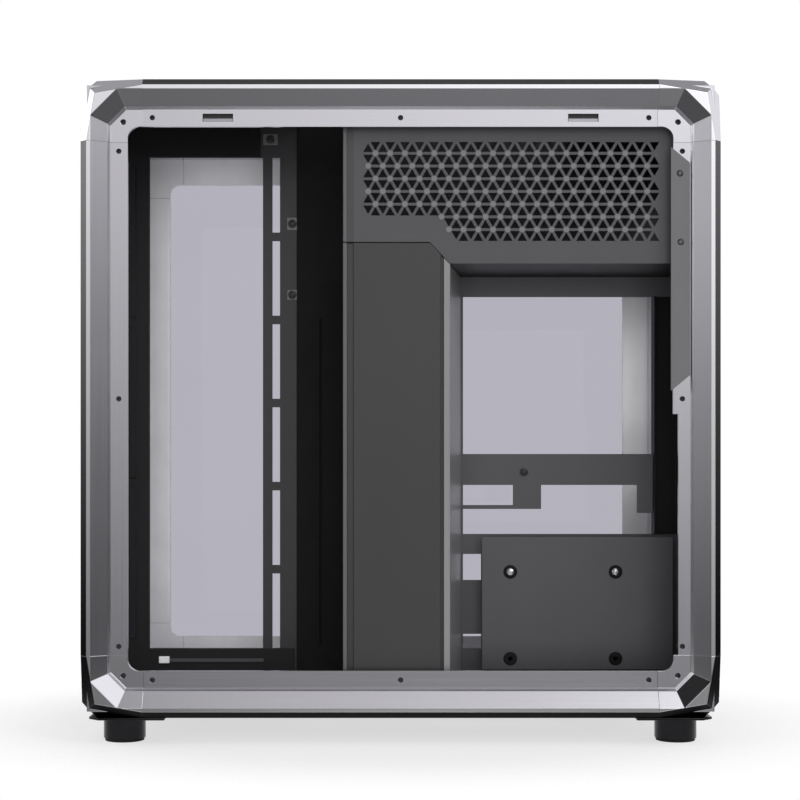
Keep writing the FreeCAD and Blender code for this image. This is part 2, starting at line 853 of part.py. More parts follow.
bracket = new_body("front_bracket")
outline = new_sketch(bracket)
add_rectangle(outline, f"{FRONT} + bracket_front_gap", BRACKET_REAR, INNER_FLOOR, INNER_CEILING)
pad(bracket, outline, "sheet")
openings = new_sketch(bracket)
WINDOW_LOW = f"({BOTTOM} + window_bottom)"
WINDOW_HIGH = f"({TOP} - window_top)"
WINDOW_SPAN = (f"{FRONT} + window_front", f"{BRACKET_REAR} - window_rear_gap")
add_rectangle(openings, *WINDOW_SPAN, WINDOW_LOW, WINDOW_HIGH)
slot_rise = f"(({WINDOW_HIGH} - {WINDOW_LOW} + slot_rib) / {BRACKET_SLOT_COUNT})"
for i in range(BRACKET_SLOT_COUNT):
    low = f"({WINDOW_LOW} + {i} * {slot_rise})"
    add_rectangle(
        openings,
        f"{BRACKET_REAR} - slot_rear_gap",
        f"{BRACKET_REAR} - slot_rear_gap + slot_width",
        low,
        f"{low} + {slot_rise} - slot_rib",
    )
pocket_through(bracket, openings)
folds = new_sketch(bracket)
fold_span = (f"{FRONT} + window_front", BRACKET_REAR)
add_rectangle(folds, *fold_span, INNER_FLOOR, f"{INNER_FLOOR} + sheet")
add_rectangle(folds, *fold_span, f"{INNER_CEILING} - sheet", INNER_CEILING)
pad(bracket, folds, "bracket_fold")
place(bracket, ("0", TRAY_BACK, "0"), (1, 0, 0), (0, 0, 1))

# Trim: a C-shaped moulding on the bracket, open towards the row of slots, with ribs on its upright

trim = new_body("window_trim")
outline = new_sketch(trim)
trim_front = f"({FRONT} + bracket_front_gap)"
trim_inner = f"({WINDOW_SPAN[0]} - trim_gap)"
trim_low = f"({INNER_FLOOR} + sheet + trim_gap)"
trim_top = f"({INNER_CEILING} - sheet - trim_gap)"
arm_low = f"({WINDOW_LOW} - trim_gap)"
arm_top = f"({WINDOW_HIGH} + trim_gap)"
upper_end = f"({WINDOW_SPAN[1]} - trim_end_gap)"
lower_end = f"({BRACKET_REAR} - trim_end_gap)"
add_polygon(
    outline,
    [
        (trim_front, trim_low),
        (lower_end, trim_low),
        (lower_end, arm_low),
        (trim_inner, arm_low),
        (trim_inner, arm_top),
        (upper_end, arm_top),
        (upper_end, trim_top),
        (trim_front, trim_top),
    ],
)
pad(trim, outline, "trim_thickness")
ribs = new_sketch(trim)
raise_sketch(ribs, "trim_thickness")
rib_front = f"({trim_front} + trim_rib_inset)"
rib_pitch = f"(({arm_top} - {arm_low} - trim_rib_gap) / {TRIM_RIB_COUNT})"
for i in range(TRIM_RIB_COUNT):
    low = f"({arm_low} + trim_rib_gap + {i} * {rib_pitch})"
    high = f"({low} + {rib_pitch} - trim_rib_gap)"
    add_rectangle(ribs, rib_front, f"{rib_front} + trim_rib_width", low, high)
pad(trim, ribs, "trim_rib_height")
place(trim, ("0", TRAY_Y, "0"), (1, 0, 0), (0, 0, 1))

channel = new_body("cable_channel")
section = new_sketch(channel)
channel_front = f"({cut_right} + channel_gap)"
channel_rear = f"({INNER_REAR} - channel_gap)"
channel_face = f"({TRAY_Y} - channel_depth)"
channel_floor = f"({TRAY_Y} - channel_wall)"
add_polygon(
    section,
    [
        (channel_front, TRAY_Y),
        (channel_front, channel_face),
        (f"{channel_front} + channel_wall", channel_face),
        (f"{channel_front} + channel_wall", channel_floor),
        (f"{channel_rear} - channel_wall", channel_floor),
        (f"{channel_rear} - channel_wall", channel_face),
        (channel_rear, channel_face),
        (channel_rear, TRAY_Y),
    ],
)
raise_sketch(section, low_end)
pad(channel, section, f"{below_shelf('cpu_cutout_top')} - {low_end}")

# Cable cover: a moulded column that stands in front of the tray

LIP_END = f"({COVER_FRONT} + column_lip)"
FACE_START = f"({LIP_END} + column_groove)"
FACE_STOP = f"({FACE_START} + column_face)"
RIDGE_START = f"({FACE_STOP} + column_slit)"
RIDGE_END = f"({RIDGE_START} + column_ridge)"
SLOPE_END = f"({RIDGE_END} + column_slope)"
column = new_body("cable_cover")
section = new_sketch(column)
groove_y = f"({COVER_Y} + column_groove_depth)"
SHELF_EDGE = f"({groove_y} + column_wall)"
add_polygon(
    section,
    [
        (COVER_FRONT, TRAY_Y),
        (COVER_FRONT, COVER_Y),
        (LIP_END, COVER_Y),
        (LIP_END, groove_y),
        (FACE_START, groove_y),
        (FACE_START, COVER_Y),
        (FACE_STOP, COVER_Y),
        (FACE_STOP, groove_y),
        (RIDGE_START, groove_y),
        (RIDGE_START, COVER_Y),
        (RIDGE_END, COVER_Y),
        (SLOPE_END, TRAY_Y),
        (f"{SLOPE_END} - column_wall", TRAY_Y),
        (f"{RIDGE_END} - column_wall", SHELF_EDGE),
        (f"{COVER_FRONT} + column_wall", SHELF_EDGE),
        (f"{COVER_FRONT} + column_wall", TRAY_Y),
    ],
)
raise_sketch(section, INNER_FLOOR)
SEAM = f"({SHELF_TOP} + seam_rise)"
pad(column, section, f"{SEAM} - seam_gap - {INNER_FLOOR}")
shoulder = new_sketch(column, "XZ_Plane")
add_polygon(
    shoulder,
    [
        (f"{RIDGE_END} - seam_corner", f"{SEAM} + cut_margin"),
        (f"{RIDGE_END} - seam_corner", f"{SEAM} - seam_gap"),
        (RIDGE_END, f"{SHELF_UNDER} - seam_gap"),
        (f"{SLOPE_END} + cut_margin", f"{SHELF_UNDER} - seam_gap"),
        (f"{SLOPE_END} + cut_margin", f"{SEAM} + cut_margin"),
    ],
)
pocket_through(column, shoulder)
shelf_room = new_sketch(column, "XZ_Plane")
raise_sketch(shelf_room, f"-{SHELF_EDGE}")
add_rectangle(
    shelf_room,
    f"{COVER_FRONT} - cut_margin",
    f"{SLOPE_END} + cut_margin",
    f"{SHELF_UNDER} - seam_gap",
    f"{SEAM} + cut_margin",
)
room = column.newObject("PartDesign::Pocket", "cable_cover_shelf_room")
room.Profile = shelf_room
room.Type = "ThroughAll"

# Power supply cover: a sheet with an isogrid of triangular openings


def wire(points):
    corners = [FreeCAD.Vector(x, 0, z) for x, z in points]
    return Part.makePolygon(corners + corners[:1])


def isogrid_openings():
    """Triangles between ribs that run level and at 60 degrees either way, inside the field."""
    x0 = number(f"{COVER_FRONT} + grid_side_margin")
    x1 = number(f"{REAR} - grid_rear_margin")
    z0 = number(f"{SHELF_TOP} + grid_bottom_margin")
    z1 = number(f"{TOP} - grid_top_margin")
    step_z = z0 + number("grid_step_height")
    step_x = x0 + number("grid_step_length")
    slant = number("grid_step_slant") / number("grid_step_height")
    pitch = number("grid_pitch")
    rise = pitch * math.sqrt(3) / 2
    inset = number("grid_rib") / 2
    rows = int((z1 - z0) / rise)
    columns = int((x1 - x0) / pitch)
    triangles = []
    for row in range(rows):
        low = z1 - (row + 1) * rise
        for column_index in range(2 * columns):
            left = x0 + column_index * pitch / 2
            points_up = (column_index + row) % 2 == 0
            base, tip = (low, low + rise) if points_up else (low + rise, low)
            inward = inset if points_up else -inset
            side = inset * math.sqrt(3)
            triangle = [
                (left + side, base + inward),
                (left + pitch - side, base + inward),
                (left + pitch / 2, tip - 2 * inward),
            ]
            clear_of_step = all(z >= step_z or x >= step_x + slant * (step_z - z) for x, z in triangle)
            if clear_of_step and max(x for x, z in triangle) <= x1:
                triangles.append(triangle)
    return triangles


def psu_cover_shape():
    seam = number(SEAM)
    left = number(COVER_FRONT)
    rear = number(INNER_REAR)
    top = number(INNER_CEILING)
    ridge = number(RIDGE_END)
    under = number(SHELF_UNDER)
    sheet_thickness = number("sheet")
    outline = [
        (left, seam),
        (ridge - number("seam_corner"), seam),
        (ridge, under),
        (rear, under),
        (rear, top),
        (left, top),
    ]
    wires = [wire(outline)] + [wire(triangle) for triangle in isogrid_openings()]
    face = Part.makeFace(wires, "Part::FaceMakerBullseye")
    plate = face.extrude(FreeCAD.Vector(0, sheet_thickness, 0))
    fold_depth = number(f"{SHELF_EDGE} - {COVER_Y}")
    fold = Part.makeBox(rear - ridge, fold_depth, sheet_thickness, FreeCAD.Vector(ridge, 0, under))
    return plate.fuse(fold).removeSplitter()


psu_cover = node(doc.addObject("Part::Feature", "psu_cover"), "psu_cover")
psu_cover.Shape = psu_cover_shape()
place(psu_cover, ("0", COVER_Y, "0"))

# Shroud that closes the power supply bay towards the main chamber

shroud = new_body("psu_shroud")
section = new_sketch(shroud, "YZ_Plane")
add_polygon(
    section,
    [
        (SHELF_EDGE, SHELF_UNDER),
        (f"{SHROUD_WALL} + sheet", SHELF_UNDER),
        (f"{SHROUD_WALL} + sheet", INNER_CEILING),
        (SHROUD_WALL, INNER_CEILING),
        (SHROUD_WALL, SHELF_TOP),
        (SHELF_EDGE, SHELF_TOP),
    ],
)
raise_sketch(section, COVER_FRONT)
pad(shroud, section, f"{INNER_REAR} - {COVER_FRONT}")

# Drive plate on four spacers, with rubber rings and screws

DRIVE_Y = f"({RIGHT} + drive_depth)"
DRIVE_BACK = f"({DRIVE_Y} + sheet)"
SPACER_LENGTH = f"({TRAY_Y} - {DRIVE_BACK})"
RING_DIAMETER = "(drive_hole_diameter - 2 * drive_ring_clearance)"
DRIVE_LEFT = f"({REAR} - drive_left)"
DRIVE_LOW = f"({BOTTOM} + drive_bottom)"
hole_xs = [f"({DRIVE_LEFT} + drive_hole_left)", f"({DRIVE_LEFT} + drive_hole_left + drive_hole_x)"]
hole_zs = [f"({DRIVE_LOW} + drive_hole_rise)", f"({DRIVE_LOW} + drive_hole_rise + drive_hole_z)"]
drive_plate = new_body("drive_plate")
outline = new_sketch(drive_plate)
add_rectangle(
    outline, DRIVE_LEFT, f"{DRIVE_LEFT} + drive_length", DRIVE_LOW, f"{DRIVE_LOW} + drive_height"
)
pad(drive_plate, outline, "sheet")
holes = new_sketch(drive_plate)
for x in hole_xs:
    for z in hole_zs:
        add_circle(holes, (x, z), "drive_hole_diameter")
pocket_through(drive_plate, holes)
place(drive_plate, ("0", DRIVE_BACK, "0"), (1, 0, 0), (0, 0, 1))

rings = []
spacers = []
drive_screws = []
for x in hole_xs:
    for z in hole_zs:
        name = f"drive_{len(rings)}"
        in_plate = (x, DRIVE_Y, z)
        outer = cylinder(f"{name}_ring", in_plate, RING_DIAMETER, "sheet", (0, 1, 0))
        bore = cylinder(f"{name}_ring_bore", in_plate, "spacer_bore", "sheet", (0, 1, 0))
        rings.append(cut(f"{name}_ring_cut", outer, bore))
        behind_plate = (x, DRIVE_BACK, z)
        shank = hexagon(f"{name}_spacer", behind_plate, "spacer_flats", SPACER_LENGTH, (0, 1, 0))
        spacer_bore = cylinder(f"{name}_spacer_bore", behind_plate, "spacer_bore", SPACER_LENGTH, (0, 1, 0))
        spacers.append(cut(f"{name}_spacer_cut", shank, spacer_bore))
    head = cylinder(
        f"{name}_head", (x, f"{DRIVE_Y} - screw_head_height", z),
        "screw_head_diameter", "screw_head_height", (0, 1, 0),
    )
    thread = cylinder(
        f"{name}_thread", (x, DRIVE_Y, z), "screw_shank_diameter", "screw_shank_length", (0, 1, 0)
    )
    drive_screws.append(fuse(f"{name}_screw", [head, thread]))
group("drive_rings", rings)
group("drive_spacers", spacers)
group("drive_screws", drive_screws)

# Plate with slanted ends, screwed on the flange of the rear post

post_plate = new_body("rear_post_plate")
outline = new_sketch(post_plate)
plate_rear = f"({REAR} - {FLANGE_START} - panel_clearance)"
plate_front = f"({plate_rear} - post_plate_width)"
plate_top = f"({TOP} - post_plate_top)"
plate_low = f"({BOTTOM} + post_plate_bottom)"
add_polygon(
    outline,
    [
        (plate_front, plate_low),
        (plate_rear, f"{plate_low} + post_plate_slant"),
        (plate_rear, f"{plate_top} - post_plate_slant"),
        (plate_front, plate_top),
    ],
)
pad(post_plate, outline, "sheet")
place(post_plate, ("0", f"{RIGHT} + {FLANGE_OUTER}", "0"), (1, 0, 0), (0, 0, 1))

# Connection bar and power button in the top panel

PORT_TOP = f"({CEILING} + sheet)"
PORT_LOW = f"({PORT_TOP} - port_bar_depth)"
BUTTON_X = f"({PORT_X} + button_inset)"
PORT_MID = f"({PORT_Y} + port_bar_width / 2)"
port_bar = new_body("port_bar")
outline = new_sketch(port_bar)
raise_sketch(outline, PORT_LOW)
add_rectangle(
    outline,
    f"{PORT_X} + port_bar_clearance",
    f"{PORT_REAR} - port_bar_clearance",
    f"{PORT_Y} + port_bar_clearance",
    f"{PORT_LEFT} - port_bar_clearance",
)
pad(port_bar, outline, "port_bar_depth")
rim = new_sketch(port_bar)
raise_sketch(rim, f"{CEILING} - port_bar_rim_thickness")
add_rectangle(
    rim,
    f"{PORT_X} - port_bar_rim",
    f"{PORT_REAR} + port_bar_rim",
    f"{PORT_Y} - port_bar_rim",
    f"{PORT_LEFT} + port_bar_rim",
)
pad(port_bar, rim, "port_bar_rim_thickness")
openings = new_sketch(port_bar)
add_circle(openings, (BUTTON_X, PORT_MID), "button_diameter + 2 * button_clearance")
usb_xs = [f"({PORT_X} + usb_first + {i} * usb_pitch)" for i in range(USB_COUNT)]
usbc_x = f"({PORT_X} + usb_first + {USB_COUNT} * usb_pitch)"
jack_x = f"({PORT_REAR} - port_last_inset)"


def port_outline(sketch, x, length, width, grow):
    add_rectangle(
        sketch,
        f"{x} - {length} / 2 - {grow}",
        f"{x} + {length} / 2 + {grow}",
        f"{PORT_MID} - {width} / 2 - {grow}",
        f"{PORT_MID} + {width} / 2 + {grow}",
    )


for x in usb_xs:
    port_outline(openings, x, "usb_length", "usb_width", "port_clearance")
port_outline(openings, usbc_x, "usbc_length", "usbc_width", "port_clearance")
add_circle(openings, (jack_x, PORT_MID), "jack_diameter + 2 * port_clearance")
pocket_through(port_bar, openings)

board = box(
    "port_board",
    (f"{PORT_X} + port_bar_clearance", f"{PORT_REAR} - port_bar_clearance"),
    (f"{PORT_Y} + port_bar_clearance", f"{PORT_LEFT} - port_bar_clearance"),
    (f"{PORT_LOW} - port_board", PORT_LOW),
)
node(board, "port_circuit_board")


def shell_port(name, x, length, width):
    """An open metal sleeve with a floor, standing on the circuit board."""
    across_x = (f"{x} - {length} / 2", f"{x} + {length} / 2")
    across_y = (f"{PORT_MID} - {width} / 2", f"{PORT_MID} + {width} / 2")
    sleeve = box(f"{name}_sleeve", across_x, across_y, (PORT_LOW, PORT_TOP))
    hollow = box(
        f"{name}_hollow",
        (f"{across_x[0]} + usb_wall", f"{across_x[1]} - usb_wall"),
        (f"{across_y[0]} + usb_wall", f"{across_y[1]} - usb_wall"),
        (f"{PORT_TOP} - usb_depth", f"{PORT_TOP} + cut_margin"),
    )
    return cut(name, sleeve, hollow)


ports = [shell_port(f"usb_{i}", x, "usb_length", "usb_width") for i, x in enumerate(usb_xs)]
ports.append(shell_port("usb_small", usbc_x, "usbc_length", "usbc_width"))
group("usb_ports", ports)
jack_floor = f"({PORT_TOP} - usb_depth)"
jack = cut(
    "jack_cut",
    cylinder("jack_body", (jack_x, PORT_MID, PORT_LOW), "jack_diameter", "port_bar_depth"),
    cylinder("jack_hole", (jack_x, PORT_MID, jack_floor), "jack_bore", "usb_depth + cut_margin"),
)
node(jack, "audio_jack")

button = new_body("power_button")
outline = new_sketch(button)
raise_sketch(outline, f"{PORT_TOP} + button_proud - button_height")
add_circle(outline, (BUTTON_X, PORT_MID), "button_diameter")
pad(button, outline, "button_height")
switch_top = f"({PORT_TOP} + button_proud - button_height - button_travel - button_clearance)"
switch = box(
    "switch_box",
    (f"{BUTTON_X} - switch_side / 2", f"{BUTTON_X} + switch_side / 2"),
    (f"{PORT_MID} - switch_side / 2", f"{PORT_MID} + switch_side / 2"),
    (PORT_LOW, switch_top),
)
node(switch, "power_switch")

# Feet with rubber pads, under the four lower brackets

pads = []
for end in (-1, 1):
    for side in (-1, 1):
        foot = new_body(f"foot_{END_NAMES[end]}_{SIDE_NAMES[side]}")
        plate = new_sketch(foot)
        raise_sketch(plate, f"{BOTTOM} - foot_plate_thickness")
        reach = "(edge_chamfer + foot_plate)"
        add_polygon(
            plate,
            [
                ("corner_cut", "edge_chamfer"),
                (reach, "edge_chamfer"),
                (reach, reach),
                ("edge_chamfer", reach),
                ("edge_chamfer", "corner_cut"),
            ],
        )
        pad(foot, plate, "foot_plate_thickness")
        round_part = new_sketch(foot)
        raise_sketch(round_part, f"{BOTTOM} - foot_plate_thickness")
        centre = ("foot_inset_x", "foot_inset_y") if end * side > 0 else ("foot_inset_y", "foot_inset_x")
        add_circle(round_part, centre, "foot_diameter")
        stem = pad(foot, round_part, f"{BOTTOM} - foot_plate_thickness - pad_height")
        stem.Reversed = True
        axes = [(-end, 0, 0), (0, -side, 0)]
        if end * side < 0:
            axes.reverse()
        place(foot, (END_X[end], SIDE_Y[side], "0"), *axes)
        spot = (
            f"{END_X[end]} - {end} * foot_inset_x",
            f"{SIDE_Y[side]} - {side} * foot_inset_y",
            "0",
        )
        pads.append(cylinder(f"pad_{len(pads)}", spot, "pad_diameter", "pad_height"))
group("foot_pads", pads)

doc.recompute()

for item in doc.Objects:
    if "Invalid" in item.State or "Error" in item.State:
        raise RuntimeError(f"{item.Label} failed: {item.State}")

os.makedirs("parts", exist_ok=True)
for item in NODES:
    shape = Part.getShape(item)
    if shape.isNull() or not shape.isValid():
        raise RuntimeError(f"{item.Label} has no valid shape")
    shape.exportStep(f"parts/{item.Label}.step")
print(f"{len(NODES)} sub-parts written")
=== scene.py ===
# %% [markdown]
# # A mid tower computer case, seen from its open right side
# The case comes from the CAD model as a fixed frame. This lesson dresses it: it sets up a small studio,
# mixes one finish for each material of the real case, and models what is too fine for the CAD model.

# %% Load the CAD frame
import json
import math

import bmesh
import bpy
from mathutils import Matrix, Vector

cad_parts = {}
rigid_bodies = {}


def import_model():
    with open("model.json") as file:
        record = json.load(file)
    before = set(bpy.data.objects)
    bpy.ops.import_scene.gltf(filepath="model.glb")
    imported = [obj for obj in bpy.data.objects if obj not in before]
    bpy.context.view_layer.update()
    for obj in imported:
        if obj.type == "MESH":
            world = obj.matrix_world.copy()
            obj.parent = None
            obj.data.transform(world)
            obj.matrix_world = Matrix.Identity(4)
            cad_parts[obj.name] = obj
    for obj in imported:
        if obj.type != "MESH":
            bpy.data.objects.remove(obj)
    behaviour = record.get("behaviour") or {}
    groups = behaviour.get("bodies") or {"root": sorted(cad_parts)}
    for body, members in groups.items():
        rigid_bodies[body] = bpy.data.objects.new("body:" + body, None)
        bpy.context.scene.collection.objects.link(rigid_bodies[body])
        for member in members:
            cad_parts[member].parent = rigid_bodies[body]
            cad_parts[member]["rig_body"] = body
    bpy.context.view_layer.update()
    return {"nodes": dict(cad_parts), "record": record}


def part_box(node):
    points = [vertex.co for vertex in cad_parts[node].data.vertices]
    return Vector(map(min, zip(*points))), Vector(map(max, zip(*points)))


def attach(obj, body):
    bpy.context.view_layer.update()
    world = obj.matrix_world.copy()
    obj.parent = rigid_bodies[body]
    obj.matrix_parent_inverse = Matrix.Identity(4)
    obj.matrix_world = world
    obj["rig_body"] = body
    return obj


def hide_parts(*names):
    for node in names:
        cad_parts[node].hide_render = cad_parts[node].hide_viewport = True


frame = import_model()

MM = 0.001
nodes = frame["nodes"]
scene = bpy.context.scene
scene.view_settings.view_transform = "Standard"

# %% [markdown]
# ## Camera
# The photograph is taken square on, from a little below the middle of the case. A long lens 1.29 m in front
# of the frame gives the narrow perspective of the chamber. The shift frames the case without tilting the
# camera, so the uprights stay parallel.

# %% Camera
IMAGE_SIDE = 800
SENSOR = 36.0
FOCAL_PIXELS = 1720
PRINCIPAL_POINT = (376, 468)
CAMERA_PLACE = (-18.56 * MM, -1435 * MM, 209.25 * MM)

camera_data = bpy.data.cameras.new("camera")
camera_data.sensor_width = SENSOR
camera_data.lens = SENSOR * FOCAL_PIXELS / IMAGE_SIDE
camera_data.shift_x = 0.5 - PRINCIPAL_POINT[0] / IMAGE_SIDE
camera_data.shift_y = PRINCIPAL_POINT[1] / IMAGE_SIDE - 0.5
camera = bpy.data.objects.new("camera", camera_data)
camera.location = CAMERA_PLACE
camera.rotation_euler = (math.radians(90), 0, 0)
scene.collection.objects.link(camera)
scene.camera = camera
print("lens", round(camera_data.lens, 1), "mm")

# %% [markdown]
# ## Shader maths written as sums
# A finish is a small program made of nodes. Its sums could be built one Math node at a time, but that is slow
# to read. This class wraps one socket, and Python's own arithmetic on it adds the Math nodes. The reflected
# forms let a plain number stand on the left.

# %% Sockets


class Value:
    """One socket of a node tree. Arithmetic on it adds Math nodes."""

    def __init__(self, tree, socket):
        self.tree = tree
        self.socket = socket

    def math(self, operation, first, second):
        return self.tree.node("Math", {"operation": operation}, {0: first, 1: second})

    def __add__(self, other):
        return self.math("ADD", self, other)

    def __sub__(self, other):
        return self.math("SUBTRACT", self, other)

    def __rsub__(self, other):
        return self.math("SUBTRACT", other, self)

    def __mul__(self, other):
        return self.math("MULTIPLY", self, other)

    def __truediv__(self, other):
        return self.math("DIVIDE", self, other)

    __radd__ = __add__
    __rmul__ = __mul__


print("sockets take arithmetic")

# %% [markdown]
# ## Every other node
# Noise, ramps, mixes and shaders aren't sums. One method makes any of them: it sets the node's properties,
# then feeds each input with a number or with a socket. Mixes and grey ramps are used often, so they get a
# short name each.

# %% Node trees


class Nodes:
    """A node tree and one method that makes any node in it."""

    def __init__(self, tree):
        self.tree = tree

    def feed(self, socket, value):
        if isinstance(value, Value):
            self.tree.links.new(value.socket, socket)
        else:
            socket.default_value = value

    def node(self, kind, settings=None, inputs=None, output=0):
        made = self.tree.nodes.new("ShaderNode" + kind)
        for key, setting in (settings or {}).items():
            if key == "stops":
                elements = made.color_ramp.elements
                while len(elements) < len(setting):
                    elements.new(1.0)
                for element, (position, colour) in zip(elements, setting):
                    element.position = position
                    element.color = colour
            else:
                setattr(made, key, setting)
        for key, value in (inputs or {}).items():
            self.feed(made.inputs[key], value)
        return Value(self, made.outputs[output]) if made.outputs else None

    def mix(self, factor, first, second):
        return self.node("Mix", {"data_type": "RGBA"}, {0: factor, 6: first, 7: second}, output=2)

    def ramp(self, value, stops):
        grey = [(position, (level, level, level, 1)) for position, level in stops]
        return self.node("ValToRGB", {"stops": grey}, {0: value})


def rgb(red, green, blue):
    return (red, green, blue, 1.0)


print("node helpers ready")

# %% [markdown]
# ## Studio: where a ray looks
# Bare metal shows the room it stands in, so the room matters as much as the lamps. Real walls could be
# modelled, but a world shader is lighter: it gets the direction of a ray and answers with a brightness. This
# cell finds how far a ray looks to the front or back, to the sides and to the corners of the room.

# %% Directions in the room
LEVEL_GUARD = 0.001
CORNER_GAIN = 4

world = bpy.data.worlds.new("studio")
scene.world = world
world.use_nodes = True
room = Nodes(world.node_tree)
room.tree.nodes.clear()
direction = room.node("TexCoord", output="Generated")
along_x = room.node("SeparateXYZ", inputs={0: direction}, output="X")
along_y = room.node("SeparateXYZ", inputs={0: direction}, output="Y")
height = room.node("SeparateXYZ", inputs={0: direction}, output="Z")
level_square = along_x * along_x + along_y * along_y + LEVEL_GUARD
to_front = along_y * along_y / level_square
to_side = along_x * along_x / level_square
to_corner = to_front * to_side * CORNER_GAIN
print("a ray knows front, side, corner and height")

# %% [markdown]
# ## Studio: the walls
# The rails in the photograph are bright where they face the camera and fall off towards ceiling and floor. A
# ramp over the height gives that fall. The side walls and the corners of the room get a slope of their own,
# dimmer at the rear, and the floor throws a little light back.

# %% Mirrored walls
ROOM_STOPS = [
    (0.0, 0.20), (0.14, 0.20), (0.22, 0.40), (0.34, 0.40), (0.40, 0.17), (0.45, 0.25), (0.50, 0.55),
    (0.56, 0.90), (0.60, 1.20), (0.72, 1.0), (0.88, 0.80), (0.95, 0.55), (1.0, 0.50),
]
FLOOR_GLOW = (-3.0, -0.6, 0.0, 0.5)
SIDE_GLOW = (6.5, 0.55, 0.02, 1.7)
CORNER_GLOW = (1.6, 0.34, 0.05, 0.7)
FRONT_TILT, SIDE_TILT, CORNER_TILT = 1.2, 0.3, 0.45


def rising(slope, start, low, high):
    """A brightness that changes evenly with the height, between two limits."""
    return room.node("Clamp", inputs={"Value": height * slope + start, "Min": low, "Max": high})


by_height = room.ramp(height * 0.5 + 0.5, ROOM_STOPS)
from_floor = rising(*FLOOR_GLOW)
side = rising(*SIDE_GLOW) * (1 - along_x * SIDE_TILT) + from_floor
wall = to_front * (1 + along_x * FRONT_TILT) + to_side * side
corner = rising(*CORNER_GLOW) * (1 - along_x * CORNER_TILT) + from_floor
walls = wall + to_corner * (corner - wall)
print(len(ROOM_STOPS), "stops from floor to ceiling")

# %% [markdown]
# ## Studio: soft box and dark board
# The wide facets at the two lower corners of the case mirror one spot of the room each. In the photograph the
# left facet is nearly white and the right one is deep grey. A round bright patch and a round dark one, both
# with soft rims, do that without touching the rest of the room.

# %% Patches
SOFT_BOX = Vector((0.47, -0.69, 0.54)).normalized()
SOFT_BOX_RIM, SOFT_BOX_CORE, SOFT_BOX_LEVEL = 0.93, 0.97, 2.0
DARK_BOARD = Vector((-0.47, -0.69, 0.54)).normalized()
DARK_BOARD_RIM, DARK_BOARD_CORE, DARK_BOARD_SHARE = 0.92, 0.955, 0.95


def patch(centre, rim, core):
    """One inside a round patch of the room, zero outside it, soft between."""
    near = room.node("VectorMath", {"operation": "DOT_PRODUCT"}, {0: direction, 1: centre}, output="Value")
    return room.node("MapRange", {"interpolation_type": "SMOOTHSTEP"},
                     {"Value": near, "From Min": rim, "From Max": core})


shaded = patch(DARK_BOARD, DARK_BOARD_RIM, DARK_BOARD_CORE) * DARK_BOARD_SHARE
mirrored = by_height * walls * (1 - shaded)
mirrored = mirrored + patch(SOFT_BOX, SOFT_BOX_RIM, SOFT_BOX_CORE) * SOFT_BOX_LEVEL
print("soft box and dark board placed")

# %% [markdown]
# ## Studio: which ray sees what
# The background of the photograph is plain white. The Light Path node tells rays apart, so rays from the
# camera and through the glass find white, mirrored rays find the room above, and all others find an even
# soft light.

# %% World
SOFT_LIGHT = 0.4

is_camera = room.node("LightPath", output="Is Camera Ray")
is_glossy = room.node("LightPath", output="Is Glossy Ray")
is_through = room.node("LightPath", output="Is Transmission Ray")
direct = room.node("Math", {"operation": "MAXIMUM"}, {0: is_camera, 1: is_through})
level = direct + (1 - direct) * (is_glossy * mirrored + (1 - is_glossy) * SOFT_LIGHT)
background = room.node("Background", inputs={"Color": rgb(1, 1, 1), "Strength": level})
room.node("OutputWorld", inputs={"Surface": background})
print("world ready")

# %% [markdown]
# ## From a bmesh to an object
# Shapes are built as a bmesh, Blender's editing structure, and become objects when they are done. Each object
# stays at the origin and has its place in its mesh, so Object coordinates mean the same metres on every
# piece. A new material starts with an empty node tree.

# %% Objects and materials


def finished(shape, name, material):
    """Turn a bmesh into an object at the origin, with its place in its mesh."""
    mesh = bpy.data.meshes.new(name)
    shape.to_mesh(mesh)
    shape.free()
    for entry in material if isinstance(material, (list, tuple)) else [material]:
        mesh.materials.append(entry)
    piece = bpy.data.objects.new(name, mesh)
    scene.collection.objects.link(piece)
    return piece


def new_material(name):
    material = bpy.data.materials.new(name)
    material.use_nodes = True
    material.node_tree.nodes.clear()
    return material, Nodes(material.node_tree)


print("object helpers ready")

# %% [markdown]
# ## Floor
# The floor only has to catch a pale shadow. A large plane would show a horizon, so it is a flat ellipse whose
# rim fades to clear. Most of what the camera sees of it is the background's own white, and only a share of
# the lit surface, with the shadow on it, is mixed in.

# %% Floor
FLOOR_REACH = (0.42, 0.33)
FLOOR_CLEAR = 0.62
FLOOR_SEGMENTS = 96
PAPER_GREY = rgb(0.9, 0.9, 0.9)
SHADOW_SHARE = 0.36

floor_material, paper = new_material("floor_paper")
spot = paper.node("TexCoord", output="Object")
spot = paper.node("Mapping", inputs={"Vector": spot, "Scale": (1 / FLOOR_REACH[0], 1 / FLOOR_REACH[1], 1)})
distance = paper.node("VectorMath", {"operation": "LENGTH"}, {0: spot}, output="Value")
fade = paper.node("MapRange", {"interpolation_type": "SMOOTHSTEP"},
                  {"Value": distance, "From Min": FLOOR_CLEAR, "From Max": 1.0})
seen = paper.node("LightPath", output="Is Camera Ray") + paper.node("LightPath", output="Is Glossy Ray")
seen = seen + paper.node("LightPath", output="Is Transmission Ray")
seen = paper.node("Math", {"operation": "MINIMUM"}, {0: seen, 1: 1.0})
lit = paper.node("BsdfDiffuse", inputs={"Color": PAPER_GREY})
white = paper.node("Emission", inputs={"Color": rgb(1, 1, 1), "Strength": 1.0})
sheet = paper.node("MixShader", inputs={0: seen * (1 - SHADOW_SHARE), 1: lit, 2: white})
faded = paper.node("MixShader", inputs={0: fade, 1: sheet, 2: paper.node("BsdfTransparent")})
paper.node("OutputMaterial", inputs={"Surface": faded})

